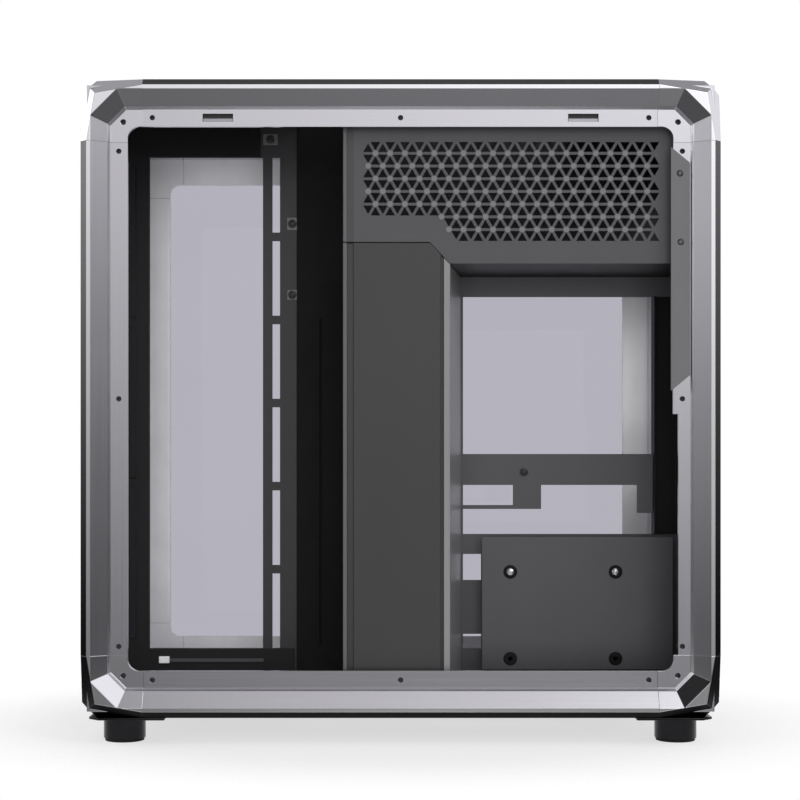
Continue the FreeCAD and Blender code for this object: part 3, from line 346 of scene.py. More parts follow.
disc = bmesh.new()
bmesh.ops.create_circle(disc, cap_ends=True, segments=FLOOR_SEGMENTS, radius=1.0)
bmesh.ops.scale(disc, vec=(*FLOOR_REACH, 1), verts=disc.verts)
floor = finished(disc, "floor", floor_material)
print("floor reaches", FLOOR_REACH, "m")

# %% [markdown]
# ## Lamps
# Five large area lamps light the case softly. One in front fills the open chamber, the key lamp stands at the
# upper right, one behind shines through the glass, and one stands at each end. The metal already mirrors the
# world's room, so the lamps are hidden from the camera and from mirrored rays.

# %% Lamps
LAMPS = {
    "front": ((0.0, -2.3, 0.28), 1.3, 37),
    "key": ((1.3, -1.5, 1.9), 1.0, 12),
    "back": ((0.2, 2.2, 1.0), 1.6, 26),
    "left": ((-2.2, 0.3, 1.1), 1.4, 16),
    "right": ((2.2, 0.2, 1.1), 1.4, 16),
}
TARGET = Vector((0, 0, 0.25))
for name, (where, width, watts) in LAMPS.items():
    lamp = bpy.data.lights.new(name, "AREA")
    lamp.size = width
    lamp.energy = watts
    holder = bpy.data.objects.new(name, lamp)
    holder.location = where
    holder.rotation_euler = (TARGET - Vector(where)).to_track_quat("-Z", "Y").to_euler()
    holder.visible_camera = False
    holder.visible_glossy = False
    holder.visible_transmission = False
    scene.collection.objects.link(holder)
print(len(LAMPS), "lamps")

# %% [markdown]
# ## What all finishes share
# Every finish is a Principled shader and a fine noise that breaks up the colour and the gloss, and all but the
# glass get a bump at the scale of the real surface. The patterns read Object coordinates, in metres, so a scale
# of
# 1000 is a pattern of about a millimetre. A subclass of the node tree keeps the recipes below to a few lines
# each.

# %% Finish recipe


class Finish(Nodes):
    """A Principled material with a pattern on Object coordinates."""

    def __init__(self, name, **constants):
        self.material, helper = new_material(name)
        super().__init__(helper.tree)
        self.shader = self.tree.nodes.new("ShaderNodeBsdfPrincipled")
        for socket, value in constants.items():
            self.shader.inputs[socket.replace("_", " ")].default_value = value
        self.node("OutputMaterial", inputs={"Surface": Value(self, self.shader.outputs[0])})
        self.place = self.node("TexCoord", output="Object")

    def set(self, socket, value):
        self.feed(self.shader.inputs[socket], value)

    def stretched(self, scale):
        return self.node("Mapping", inputs={"Vector": self.place, "Scale": scale})

    def noise(self, scale, detail, where=None):
        return self.node("TexNoise", inputs={"Vector": where or self.place, "Scale": scale, "Detail": detail})

    def cells(self, scale):
        return self.node("TexVoronoi", inputs={"Vector": self.place, "Scale": scale})

    def bump(self, height, strength, distance):
        normal = self.node("Bump", inputs={"Height": height, "Strength": strength, "Distance": distance})
        self.set("Normal", normal)


def shade(colour, factor):
    return tuple(channel * factor for channel in colour[:3]) + (1.0,)


print("finish recipe ready")

# %% [markdown]
# ## Aluminium
# The rails are drawn through a die and anodised, which leaves faint lines along each bar: a noise squeezed
# across the bar and stretched along it. The corner brackets are cast and bead blasted, so their grain is even
# in all directions.

# %% Drawn and cast aluminium
LINES_ACROSS, LINES_ALONG = 900.0, 6.0


def anodised(name, colour, roughness, along):
    """Satin anodised aluminium with fine drawing lines along the rail."""
    finish = Finish(name, Metallic=1.0)
    scale = [LINES_ACROSS] * 3
    scale["XYZ".index(along)] = LINES_ALONG
    lines = finish.noise(1.0, 4.0, finish.stretched(scale))
    clouds = finish.noise(9.0, 2.0)
    tone = lines * 0.6 + clouds * 0.4
    finish.set("Base Color", finish.mix(tone, shade(colour, 0.93), shade(colour, 1.07)))
    finish.set("Roughness", roughness - 0.05 + lines * 0.07 + clouds * 0.03)
    finish.bump(lines, 0.10, 0.05 * MM)
    return finish.material


def cast(name, colour, roughness):
    """Bead blasted casting: a fine even grain."""
    finish = Finish(name, Metallic=1.0)
    grain = finish.noise(2600.0, 2.0)
    clouds = finish.noise(14.0, 2.0)
    tone = grain * 0.5 + clouds * 0.5
    finish.set("Base Color", finish.mix(tone, shade(colour, 0.92), shade(colour, 1.08)))
    finish.set("Roughness", roughness - 0.04 + grain * 0.08)
    finish.bump(grain, 0.18, 0.06 * MM)
    return finish.material


print("aluminium recipes ready")

# %% [markdown]
# ## Paint and plastic
# Powder coat melts into small soft pimples, which a Voronoi pattern gives, with a slight mottle. Moulded
# plastic copies the spark-worn wall of its mould, a finer noise, and shows faint streaks where it flowed.

# %% Powder coat and mouldings
PEEL = 1500.0


def powder_coat(name, colour, roughness):
    """Fine textured powder coat: small soft pimples and a slight mottle."""
    finish = Finish(name, Specular_IOR_Level=0.5)
    pimples = finish.cells(PEEL)
    mottle = finish.noise(35.0, 3.0)
    specks = finish.noise(PEEL * 1.7, 2.0)
    tone = specks * 0.5 + mottle * 0.5
    finish.set("Base Color", finish.mix(tone, shade(colour, 0.82), shade(colour, 1.18)))
    finish.set("Roughness", roughness - 0.06 + specks * 0.08 + mottle * 0.04)
    finish.bump(pimples * 0.6 + specks * 0.4, 0.25, 0.05 * MM)
    return finish.material


def moulded(name, colour, roughness, grain=2200.0):
    """Moulded plastic with a fine spark texture."""
    finish = Finish(name, Specular_IOR_Level=0.5)
    spark = finish.noise(grain, 3.0)
    flow = finish.noise(1.0, 2.0, finish.stretched((25.0, 25.0, 6.0)))
    tone = spark * 0.4 + flow * 0.6
    finish.set("Base Color", finish.mix(tone, shade(colour, 0.86), shade(colour, 1.14)))
    finish.set("Roughness", roughness - 0.05 + spark * 0.08 + flow * 0.03)
    finish.bump(spark, 0.22, 0.05 * MM)
    return finish.material


print("paint and plastic recipes ready")

# %% [markdown]
# ## Rubber, small metal parts and glass
# Rubber is dull and blooms a little, plated screws have tiny scratches and a slight stain, and the lightly
# smoked glass has the faintest smears in its gloss. A low index of refraction keeps the panes from mirroring
# and bending too much.

# %% Rubber, plating and glass


def rubber(name, colour):
    """Matt rubber with a pale bloom."""
    finish = Finish(name, Specular_IOR_Level=0.35)
    grain = finish.noise(1800.0, 4.0)
    bloom = finish.noise(60.0, 3.0)
    finish.set("Base Color", finish.mix(bloom, shade(colour, 0.8), shade(colour, 1.5)))
    finish.set("Roughness", 0.72 + grain * 0.12)
    finish.bump(grain, 0.3, 0.06 * MM)
    return finish.material


def bright_metal(name, colour, roughness):
    """Plated or turned small parts: tiny scratches and a slight stain."""
    finish = Finish(name, Metallic=1.0)
    marks = finish.noise(1400.0, 5.0)
    stain = finish.noise(120.0, 2.0)
    finish.set("Base Color", finish.mix(stain, shade(colour, 0.88), shade(colour, 1.08)))
    finish.set("Roughness", roughness + marks * 0.1)
    finish.bump(marks, 0.08, 0.02 * MM)
    return finish.material


def tinted_glass(name, colour):
    """Lightly smoked glass: clear, with the faintest smears in its gloss."""
    finish = Finish(name, Transmission_Weight=1.0, IOR=1.25)
    smear = finish.noise(1.0, 3.0, finish.stretched((4.0, 4.0, 9.0)))
    finish.set("Base Color", finish.mix(smear, shade(colour, 0.97), shade(colour, 1.03)))
    finish.set("Roughness", smear * 0.015)
    return finish.material


print("rubber, plating and glass recipes ready")

# %% [markdown]
# ## The finishes of this case
# The rails need one finish for each direction, because their lines follow the bar. Their outer ridges get a
# lighter copy of the metal, a painted highlight, and their chamfers a dark one, painted shade. The other
# finishes are mixed once by name. A CAD node first gets the finish of its slot, and the cells below dress most
# of them further.

# %% List of finishes
ALUMINIUM = rgb(0.60, 0.59, 0.63)
# Painted shade: the dark tone of the outer chamfers, on the same anodised metal.
EDGE_SHADE_TONE = rgb(0.09, 0.09, 0.094)
# Painted highlight: the bright tone of the outer ridges, on the same anodised metal.
RIDGE_HIGHLIGHT_TONE = rgb(0.78, 0.77, 0.80)
rail_finish = {axis: anodised(f"rail_aluminium_{axis}", ALUMINIUM, 0.24, axis) for axis in "XYZ"}
edge_shade_finish = {axis: anodised(f"rail_edge_shade_{axis}", EDGE_SHADE_TONE, 0.18, axis) for axis in "XYZ"}
ridge_highlight_finish = {axis: anodised(f"rail_ridge_highlight_{axis}", RIDGE_HIGHLIGHT_TONE, 0.18, axis) for axis in "XYZ"}
finish = {
    "corner_aluminium": cast("corner_aluminium", rgb(0.62, 0.61, 0.65), 0.22),
    # Painted shade: a darker copy of the cast metal for the corners' diagonal facets.
    "corner_facet": cast("corner_facet", rgb(0.32, 0.315, 0.335), 0.20),
    # On the frame's inner flange this pale coat is a painted highlight on the aluminium; it also colours the
    # pale window slide.
    "inner_face": powder_coat("inner_face", rgb(0.92, 0.91, 0.94), 0.5),
    # Painted shade: near black on the faces that look down.
    "under_edge": anodised("under_edge", rgb(0.005, 0.005, 0.006), 0.40, "X"),
    "foot_black": bright_metal("foot_black", rgb(0.024, 0.024, 0.026), 0.24),
    "bracket_steel": powder_coat("bracket_steel", rgb(0.022, 0.022, 0.024), 0.46),
    "tinted_glass": tinted_glass("tinted_glass", rgb(0.46, 0.45, 0.51)),
    "black_steel": powder_coat("black_steel", rgb(0.009, 0.009, 0.010), 0.52),
    "grey_steel": powder_coat("grey_steel", rgb(0.052, 0.051, 0.056), 0.46),
    "post_steel": powder_coat("post_steel", rgb(0.105, 0.104, 0.109), 0.40),
    "hub_steel": powder_coat("hub_steel", rgb(0.125, 0.125, 0.132), 0.40),
    "clip_steel": powder_coat("clip_steel", rgb(0.085, 0.084, 0.089), 0.38),
    "screw_black": powder_coat("screw_black", rgb(0.022, 0.022, 0.024), 0.38),
    "cover_plastic": moulded("cover_plastic", rgb(0.026, 0.026, 0.027), 0.34),
    # Lip, ridge and slope tones: painted highlight on the same moulding.
    "cover_lip": moulded("cover_lip", rgb(0.075, 0.075, 0.078), 0.38),
    "cover_ridge": moulded("cover_ridge", rgb(0.17, 0.17, 0.175), 0.34),
    "cover_slope": moulded("cover_slope", rgb(0.21, 0.21, 0.216), 0.36),
    # The band tone: painted shade.
    "cover_band": powder_coat("cover_band", rgb(0.040, 0.039, 0.043), 0.46),
    # Near black: the window trim's own colour, and painted shade on the cable channel.
    "trim_black": moulded("trim_black", rgb(0.004, 0.004, 0.0045), 0.55),
    "black_plastic": moulded("black_plastic", rgb(0.014, 0.014, 0.015), 0.40),
    "black_rubber": rubber("black_rubber", rgb(0.004, 0.004, 0.004)),
    "bright_steel": bright_metal("bright_steel", rgb(0.78, 0.78, 0.80), 0.16),
    "standoff_brass": bright_metal("standoff_brass", rgb(0.72, 0.53, 0.25), 0.22),
    "port_steel": bright_metal("port_steel", rgb(0.60, 0.60, 0.62), 0.24),
    "button_metal": bright_metal("button_metal", rgb(0.45, 0.45, 0.48), 0.28),
    "board_laminate": moulded("board_laminate", rgb(0.012, 0.030, 0.020), 0.30, 900.0),
}
slot_of = {row["node"]: row["material_slot"] for row in frame["record"]["subparts"]}
for name, piece in nodes.items():
    if slot_of[name] in finish:
        piece.data.materials.clear()
        piece.data.materials.append(finish[slot_of[name]])
print(len(finish), "finishes")

# %% [markdown]
# ## Copies of CAD nodes with soft edges
# A real edge is never razor sharp, and the thin line of light along it is what makes a form look made. The CAD
# mesh is made of loose triangles with sharp edges. Each node is therefore copied, welded, cleared of edges
# between flat neighbours, and given a small bevel on the edges that are left. The node itself isn't touched.

# %% Dressed copies
FLAT_ANGLE = math.radians(1.0)
SHARP_ANGLE = math.radians(12.0)
WELD = 0.002 * MM


def welded(node):
    """A copy of a node's mesh with its triangles joined and flat regions merged."""
    shape = bmesh.new()
    shape.from_mesh(nodes[node].data)
    bmesh.ops.remove_doubles(shape, verts=shape.verts, dist=WELD)
    bmesh.ops.dissolve_limit(shape, angle_limit=FLAT_ANGLE, verts=shape.verts, edges=shape.edges)
    return shape


def bevel_edges(shape, width, segments=2):
    """Soften all sharp edges and clear what the bevel makes too small."""
    sharp = [edge for edge in shape.edges if edge.is_manifold and edge.calc_face_angle() > SHARP_ANGLE]
    bmesh.ops.bevel(shape, geom=sharp, offset=width, offset_type="OFFSET", affect="EDGES", segments=segments,
                    profile=0.5, material=-1, clamp_overlap=True)
    bmesh.ops.dissolve_degenerate(shape, dist=WELD, edges=shape.edges)


def stands_for(piece, node):
    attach(piece, nodes[node]["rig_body"])
    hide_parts(node)


print("copies can be dressed")

# %% [markdown]
# ## Tones of the frame's faces
# The outer chamfers are painted almost black, and the faces that look down black, both painted shade. The outer
# ridges are painted bright, and the far flange, seen through the open side, pale, both a painted highlight.
# Separate pieces would leave seams, so single faces of a bar get another material. A face is known by where it
# lies and where it looks.

# %% Face tests
SHADED_EDGE, HIGHLIT_RIDGE, PALE_INNER_HIGHLIGHT, SHADED_UNDERSIDE, SHADED_FACET = range(1, 6)
HALF_LENGTH, HALF_WIDTH, FRAME_BOTTOM, FRAME_TOP = 0.241, 0.145, 0.021, 0.502
OUTER_FACES = [
    (0, -HALF_LENGTH), (0, HALF_LENGTH), (1, -HALF_WIDTH), (1, HALF_WIDTH), (2, FRAME_BOTTOM), (2, FRAME_TOP),
]
INNER_FLANGE_Y = 0.133
CHAMFER_NORMAL = math.sqrt(0.5)
CHAMFER_WIDTH = 3.0 * MM
LEAN_TOLERANCE = 0.01
PLANE_TOLERANCE = 0.01 * MM
DOWNWARD = -0.5


def outer_chamfers(shape, axis):
    """Faces that lean equally to two sides, along the given rail axis."""
    across = [i for i in range(3) if i != axis]
    return [
        face for face in shape.faces
        if all(abs(abs(face.normal[i]) - CHAMFER_NORMAL) < LEAN_TOLERANCE for i in across)
        and min(edge.calc_length() for edge in face.edges) > CHAMFER_WIDTH
    ]


def is_ridge(face):
    """A face that lies in one of the frame's six outer planes."""
    middle = face.calc_center_median()
    return any(abs(abs(face.normal[i]) - 1) < LEAN_TOLERANCE and abs(middle[i] - plane) < PLANE_TOLERANCE
               for i, plane in OUTER_FACES)


def is_inner_flange(face):
    """The back of the left side's flange, which shows through the open side."""
    return face.normal.y < -0.99 and abs(face.calc_center_median().y - INNER_FLANGE_Y) < 0.1 * MM


def paint_frame(shape, chamfers):
    for face in shape.faces:
        if is_ridge(face):
            # Outer ridges get a painted highlight.
            face.material_index = HIGHLIT_RIDGE
        elif is_inner_flange(face):
            # The inner flange gets a painted highlight: a pale coat.
            face.material_index = PALE_INNER_HIGHLIGHT
    # Chamfers get painted shade, near black where they look down.
    for face in chamfers:
        face.material_index = SHADED_UNDERSIDE if face.normal.z < DOWNWARD else SHADED_EDGE


print("faces can be told apart")

# %% [markdown]
# ## Rails and posts
# Twelve extruded bars make the frame. Each one runs along one axis, which its box tells, and takes the finish
# whose lines run that way. The bevel is narrow, because an extrusion has crisp facets.

# %% Rails
RAIL_BEVEL = 0.35 * MM


def rail_axis(node):
    low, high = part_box(node)
    extent = high - low
    return max(range(3), key=lambda i: extent[i])


rails = sorted(name for name in nodes if name.endswith(("_rail", "_post")))
for node in rails:
    axis = rail_axis(node)
    letter = "XYZ"[axis]
    shape = welded(node)
    paint_frame(shape, outer_chamfers(shape, axis))
    bevel_edges(shape, RAIL_BEVEL)
    looks = [kind[letter] for kind in (rail_finish, edge_shade_finish, ridge_highlight_finish)]
    looks += [finish["inner_face"], finish["under_edge"]]
    stands_for(finished(shape, f"{node}_bar", looks), node)
print(len(rails), "rails dressed")

# %% [markdown]
# ## Corner brackets
# A casting joins three bars at each corner. Its outer edges taper out towards the rails and are painted dark
# like the rails' chamfers, painted shade, and a wide facet crosses each corner of its recess. At three of the
# corners in the photograph the facet is darker than its neighbours, so it gets a darker copy of the cast metal,
# painted shade.
# It is found by how far its normal leans to all three sides.

# %% Corner castings
CORNER_BEVEL = 0.5 * MM
CORNER_FINISHES = [
    finish["corner_aluminium"], edge_shade_finish["Z"], ridge_highlight_finish["Z"], finish["inner_face"],
    finish["under_edge"], finish["corner_facet"],
]
FACET_LEAN, FACET_TOLERANCE = 0.337, 0.03
TAPER_LEAN, TAPER_REACH, TAPER_TOP = 0.6, 12 * MM, 0.1


def tapers(shape):
    """The lower castings' outer edges, which lean to two sides and run out towards the rails."""
    found = []
    for face in shape.faces:
        middle = face.calc_center_median()
        near = sorted(abs(abs(middle[i]) - plane) for i, plane in ((0, HALF_LENGTH), (1, HALF_WIDTH)))
        leans = sorted(abs(v) for v in face.normal)
        outermost = near[1] < TAPER_REACH or face.normal.z < DOWNWARD
        if leans[1] > TAPER_LEAN and outermost and middle.z < TAPER_TOP:
            found.append(face)
    return found


def diagonal_facets(shape):
    """The wide facet across each corner of a recess, which leans to all three sides."""
    leaning = []
    for face in shape.faces:
        leans = sorted(abs(v) for v in face.normal)
        if all(abs(lean - FACET_LEAN) < FACET_TOLERANCE for lean in leans[:2]):
            leaning.append(face)
    return leaning


corners = sorted(name for name in nodes if name.startswith("corner_"))
for node in corners:
    shape = welded(node)
    paint_frame(shape, tapers(shape))
    for face in diagonal_facets(shape):
        # The diagonal facet gets painted shade.
        face.material_index = SHADED_FACET
    bevel_edges(shape, CORNER_BEVEL)
    stands_for(finished(shape, f"{node}_casting", CORNER_FINISHES), node)
print(len(corners), "corners dressed")

# %% [markdown]
# ## Sheet metal, glass and plastic
# A pressed sheet has a small break along each edge, a moulding has a rounder one, and ground glass has a
# polished arris. Each of them is a welded copy of its CAD node with a bevel of the right width, in
# millimetres. A few nodes wear a finish of their own instead of their slot's.

# %% Softened edges
EDGE_WIDTHS = {
    "motherboard_tray": 0.25, "front_bracket": 0.25, "drive_plate": 0.3, "rear_post_plate": 0.3,
    "psu_shroud": 0.25, "rear_panel": 0.25, "top_panel": 0.25, "bottom_panel": 0.25, "slot_covers": 0.3,
    "left_glass_panel": 0.5, "front_glass_panel": 0.5, "cable_grommet": 0.4, "port_bar": 0.4,
    "port_circuit_board": 0.2, "usb_ports": 0.12, "power_switch": 0.3, "window_trim": 0.5,
    "cable_channel": 0.4,
}
FEET = [name for name in nodes if name.startswith("foot_") and name != "foot_pads"]
# The cable channel's near-black finish and the cable grommet's black rubber stand where the chamber lies in
# deep shade: real parts, whose black is partly painted shade.
OWN_FINISH = {"front_bracket": "bracket_steel", "window_trim": "trim_black", "cable_channel": "trim_black"}
OWN_FINISH.update({name: "foot_black" for name in FEET})


def look_of(node):
    return finish[OWN_FINISH.get(node, slot_of[node])]


for node, width in EDGE_WIDTHS.items():
    shape = welded(node)
    bevel_edges(shape, width * MM)
    stands_for(finished(shape, f"{node}_softened", look_of(node)), node)
print(len(EDGE_WIDTHS), "pieces softened")

# %% [markdown]
# ## Round pieces
# Feet, pads, rings, the button and the audio socket are turned or moulded round, but their mesh has flat
# facets. More facets would only make it heavier. Instead faces are shaded smooth where neighbours differ by a
# few degrees, and edges that are meant to be sharp stay sharp.

# %% Rounded pieces
CURVE_ANGLE = math.radians(24.0)
ROUND_WIDTHS = {"foot_pads": 0.4, "drive_rings": 0.15, "power_button": 0.5, "audio_jack": 0.3}
ROUND_WIDTHS.update({name: 0.6 for name in FEET})


def smooth_curves(shape):
    for edge in shape.edges:
        if edge.is_manifold and edge.calc_face_angle() < CURVE_ANGLE:
            for face in edge.link_faces:
                face.smooth = True
        else:
            edge.smooth = False


for node, width in ROUND_WIDTHS.items():
    shape = welded(node)
    bevel_edges(shape, width * MM)
    smooth_curves(shape)
    stands_for(finished(shape, f"{node}_rounded", look_of(node)), node)
print(len(ROUND_WIDTHS), "pieces rounded")

# %% [markdown]
# ## Cable cover
# The tall column is a moulding with a rounded lip on one side and a ridge on the other. The two narrow bands on
# lip and ridge are painted lighter than the grained face, a painted highlight, and so is the sloped wall, which
# faces the lit side. These faces get finishes of their own before the edges are softened.

# %% Cable cover
COVER_FACE_Y = -0.123
COVER_LIP_X = (-0.0438, -0.0406)
COVER_RIDGE_X = (0.0330, 0.0385)
COVER_BEVEL = 0.5 * MM
COVER_FINISHES = [finish[name] for name in ("cover_plastic", "cover_lip", "cover_ridge", "cover_slope")]
FACING = 0.9

shape = welded("cable_cover")
# Lip and ridge bands and the sloped wall get a painted highlight.
for face in shape.faces:
    x, y, _ = face.calc_center_median()
    if abs(y - COVER_FACE_Y) < 0.1 * MM and face.normal.y < -FACING:
        if COVER_LIP_X[0] < x < COVER_LIP_X[1]:
            face.material_index = 1
        elif COVER_RIDGE_X[0] < x < COVER_RIDGE_X[1]:
            face.material_index = 2
    elif face.normal.x > FACING and x > COVER_RIDGE_X[0]:
        face.material_index = 3
bevel_edges(shape, COVER_BEVEL)
stands_for(finished(shape, "cable_cover_column", COVER_FINISHES), "cable_cover")
print("cable cover dressed")

# %% [markdown]
# ## Small hardware
# Screws, nuts and hubs come in many copies. One template of each is enough: a lathe spins a profile round an
# axis, and the template is then set in at every place, turned the way it looks. Plain blocks are cubes that
# are stretched between two corners. All these sizes are in millimetres.

# %% Templates
SEGMENTS = 24
TEMPLATE_WELD = 0.001 * MM
TO_FRONT, TO_REAR, TO_TOP = (0, -1, 0), (1, 0, 0), (0, 0, 1)


def template(shape, name):
    """Weld a small shape and keep it as a mesh that can be set in many places."""
    bmesh.ops.remove_doubles(shape, verts=shape.verts, dist=TEMPLATE_WELD)
    bmesh.ops.recalc_face_normals(shape, faces=shape.faces)
    mesh = bpy.data.meshes.new(name)
    shape.to_mesh(mesh)
    shape.free()
    return mesh


def lathe(name, profile):
    """Spin a line through (radius, height) points once round the z axis."""
    shape = bmesh.new()
    points = [shape.verts.new((radius * MM, 0, height * MM)) for radius, height in profile]
    edges = [shape.edges.new(pair) for pair in zip(points, points[1:])]
    bmesh.ops.spin(shape, geom=points + edges, cent=(0, 0, 0), axis=(0, 0, 1), angle=math.tau, steps=SEGMENTS,
                   use_merge=True)
    return template(shape, name)


def set_in(shape, mesh, centre, towards):
    """Add a copy of a template at a point, with its z axis turned to the given direction."""
    turn = Vector(towards).to_track_quat("Z", "Y").to_matrix().to_4x4()
    before = len(shape.verts)
    shape.from_mesh(mesh)
    shape.verts.ensure_lookup_table()
    where = Matrix.Translation(Vector(centre) * MM) @ turn
    bmesh.ops.transform(shape, matrix=where, verts=shape.verts[before:])


def block(shape, low, high):
    """A box between two corners."""
    low, high = Vector(low) * MM, Vector(high) * MM
    where = Matrix.Translation((low + high) / 2) @ Matrix.Diagonal((*(high - low), 1))
    bmesh.ops.create_cube(shape, size=1.0, matrix=where)


def added(shape, name, look, smooth=True):
    """Turn a new shape's faces outwards and let it ride on the case."""
    bmesh.ops.recalc_face_normals(shape, faces=shape.faces)
    if smooth:
        smooth_curves(shape)
    piece = finished(shape, name, finish[look])
    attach(piece, "case")


print("hardware helpers ready")

# %% [markdown]
# ## Power supply cover
# The cover is a sheet with a triangular lattice. Its ribs are narrow, so the bevel is small and has one
# segment. The faces that look down, the cover's underside among them, are painted black, because in the
# photograph no light comes back from there.

# %% Lattice sheet
LATTICE_BEVEL = 0.12 * MM
LATTICE_FINISHES = [finish["grey_steel"], finish["black_steel"]]

shape = welded("psu_cover")
for face in shape.faces:
    if face.normal.z < -FACING:
        face.material_index = 1
bevel_edges(shape, LATTICE_BEVEL, 1)
stands_for(finished(shape, "psu_cover_sheet", LATTICE_FINISHES), "psu_cover")
print("lattice sheet dressed")

# %% [markdown]
# ## Hubs of the lattice
# The ribs meet in round hubs. A hub is a short cylinder whose front rim is chamfered, and it rounds off the
# sharp corners of the triangles round it. One is set on every crossing. The crossings lie in rows, each shifted
# by half a pitch from the last, and keep clear of the slanted step in the cover's outline.

# %% Hubs
GRID_PITCH = 11.2
GRID_RISE = GRID_PITCH * math.sqrt(3) / 2
GRID_LEFT, GRID_RIGHT = -30.2, 199.5
GRID_TOP, GRID_ROWS = 459.0, 8
STEP_TOP, STEP_REACH, STEP_SLANT, STEP_MARGIN = 401.4, 18.8, 23 / 20.5, 1
HUB_RADIUS, HUB_HEIGHT, HUB_CHAMFER, HUB_SEGMENTS = 2.5, 1.6, 0.35, 12
HUB_Y = -122.8

button = bmesh.new()
bmesh.ops.create_cone(button, cap_ends=True, segments=HUB_SEGMENTS, radius1=HUB_RADIUS * MM,
                      radius2=HUB_RADIUS * MM, depth=HUB_HEIGHT * MM)
rim = [edge for edge in button.edges if all(vert.co.z > 0 for vert in edge.verts)]
bmesh.ops.bevel(button, geom=rim, offset=HUB_CHAMFER * MM, offset_type="OFFSET", affect="EDGES", segments=1,
                profile=0.5, material=-1)
hub = template(button, "hub")

hubs = bmesh.new()
hub_count = 0
for line in range(1, GRID_ROWS):
    z = GRID_TOP - line * GRID_RISE
    step_edge = STEP_REACH + STEP_SLANT * (STEP_TOP - z) + GRID_PITCH / 2
    for step in range(1, 2 * int((GRID_RIGHT - GRID_LEFT) / GRID_PITCH)):
        x = GRID_LEFT + step * GRID_PITCH / 2
        on_crossing = (step + line) % 2 == 1
        clear_of_step = z > STEP_TOP + STEP_MARGIN or x > step_edge
        if on_crossing and clear_of_step and x < GRID_RIGHT:
            set_in(hubs, hub, (x, HUB_Y, z), TO_FRONT)
            hub_count += 1
added(hubs, "isogrid_hubs", "hub_steel", smooth=False)
print(hub_count, "hubs")

# %% [markdown]
# ## Head of a screw
# A pan head is domed and has a cross recess. A Boolean cut would leave a poor mesh, so the head starts as a
# small grid: its outer lines are pulled into circles, its open rim is drawn out and down in three steps and
# closed, and the five faces of the middle cross are inset and sunk. The recess is real, so it holds a shadow.

# %% Cross recess head
GRID_LINES = 5
RINGS = {0.6: 0.63, 1.0: 0.83}
DOME = 0.45
RIM_STEPS = ((0.95, 0.52), (1.0, 0.25), (1.0, 0.0))
CROSS_REACH, CROSS_WALL, CROSS_DEPTH = 0.5, 0.03, 0.6


def open_edges(shape):
    return [edge for edge in shape.edges if edge.is_boundary]


def in_cross(face, arm):
    """True on the grid's middle face and on the four beside it."""
    middle = face.calc_center_median().xy
    return sum(abs(v) > 0.1 * arm for v in middle) < 2 and middle.length < arm


def cross_head(name, radius, height):
    """A pan head: the middle cross of a small grid is sunk and its rim is drawn out and down."""
    shape = bmesh.new()
    grid = bmesh.ops.create_grid(shape, x_segments=GRID_LINES, y_segments=GRID_LINES, size=1.0)["verts"]
    for vert in grid:
        line = round(max(abs(vert.co.x), abs(vert.co.y)), 1)
        if line in RINGS:
            vert.co = vert.co.normalized() * RINGS[line]
        vert.co.z = (1 - DOME * vert.co.xy.length_squared) * height / radius
    bmesh.ops.scale(shape, vec=(radius * MM,) * 3, verts=shape.verts)
    cross = [face for face in shape.faces if in_cross(face, CROSS_REACH * radius * MM)]
    for reach, level in RIM_STEPS:
        bmesh.ops.extrude_edge_only(shape, edges=open_edges(shape))
        for vert in {vert for edge in open_edges(shape) for vert in edge.verts}:
            vert.co = (vert.co.xy.normalized() * reach * radius * MM).to_3d()
            vert.co.z = level * height * MM
    bmesh.ops.edgeloop_fill(shape, edges=open_edges(shape))
    bmesh.ops.recalc_face_normals(shape, faces=shape.faces)
    bmesh.ops.inset_region(shape, faces=cross, thickness=CROSS_WALL * radius * MM,
                           depth=-CROSS_DEPTH * height * MM, use_even_offset=True)
    return template(shape, name)


drive_head = cross_head("drive_head", 3.2, 2.0)
small_head = cross_head("small_head", 2.7, 1.4)
slot_head = cross_head("slot_head", 3.0, 2.0)
print(len(drive_head.polygons), "faces in a screw head")

# %% [markdown]
# ## Bright drive screws
# Two plated screws hold the drive plate in its upper rubber rings. Each is a cross head with a plain shank
# behind it, and the pair stands for the simpler screws of the CAD model.

# %% Drive screws
DRIVE_SCREW_X, DRIVE_SCREW_Y, DRIVE_SCREW_Z = (89.3, 173.9), -53, 125.7

shank = lathe("shank", [(0, -7.0), (1.4, -7.0), (1.4, 0.1), (0, 0.1)])
screws = bmesh.new()
for x in DRIVE_SCREW_X:
    set_in(screws, drive_head, (x, DRIVE_SCREW_Y, DRIVE_SCREW_Z), TO_FRONT)
    set_in(screws, shank, (x, DRIVE_SCREW_Y, DRIVE_SCREW_Z), TO_FRONT)
smooth_curves(screws)
stands_for(finished(screws, "drive_screws_cross", finish["bright_steel"]), "drive_screws")
print(len(DRIVE_SCREW_X), "drive screws")

# %% [markdown]
# ## Black screws
# Smaller black screws with a washer hold the front bracket, the bar of the tray and the plate on the rear
# post. They are one piece, because they share a finish and none of them moves.

# %% Black screws
CLIPS = {
    (-104.7, -30.8, 477.4): (12, 9),
    (-86.9, -30.8, 408.6): (8.6, 10.4),
    (-86.9, -30.8, 350.6): (8.4, 8.4),
}
DARK_SCREWS = [*CLIPS, (102.3, -30.0, 206.0), (210.8, -136.0, 431.7), (211.4, -136.0, 379.9)]
WASHER_HEIGHT = 0.5

washer = lathe("washer", [(0, -0.2), (3.6, -0.2), (3.6, 0.4), (3.3, WASHER_HEIGHT), (0, WASHER_HEIGHT)])
dark_screws = bmesh.new()
for x, y, z in DARK_SCREWS:
    set_in(dark_screws, washer, (x, y, z), TO_FRONT)
    set_in(dark_screws, small_head, (x, y - WASHER_HEIGHT, z), TO_FRONT)
added(dark_screws, "dark_screws", "screw_black")
print(len(DARK_SCREWS), "black screws")

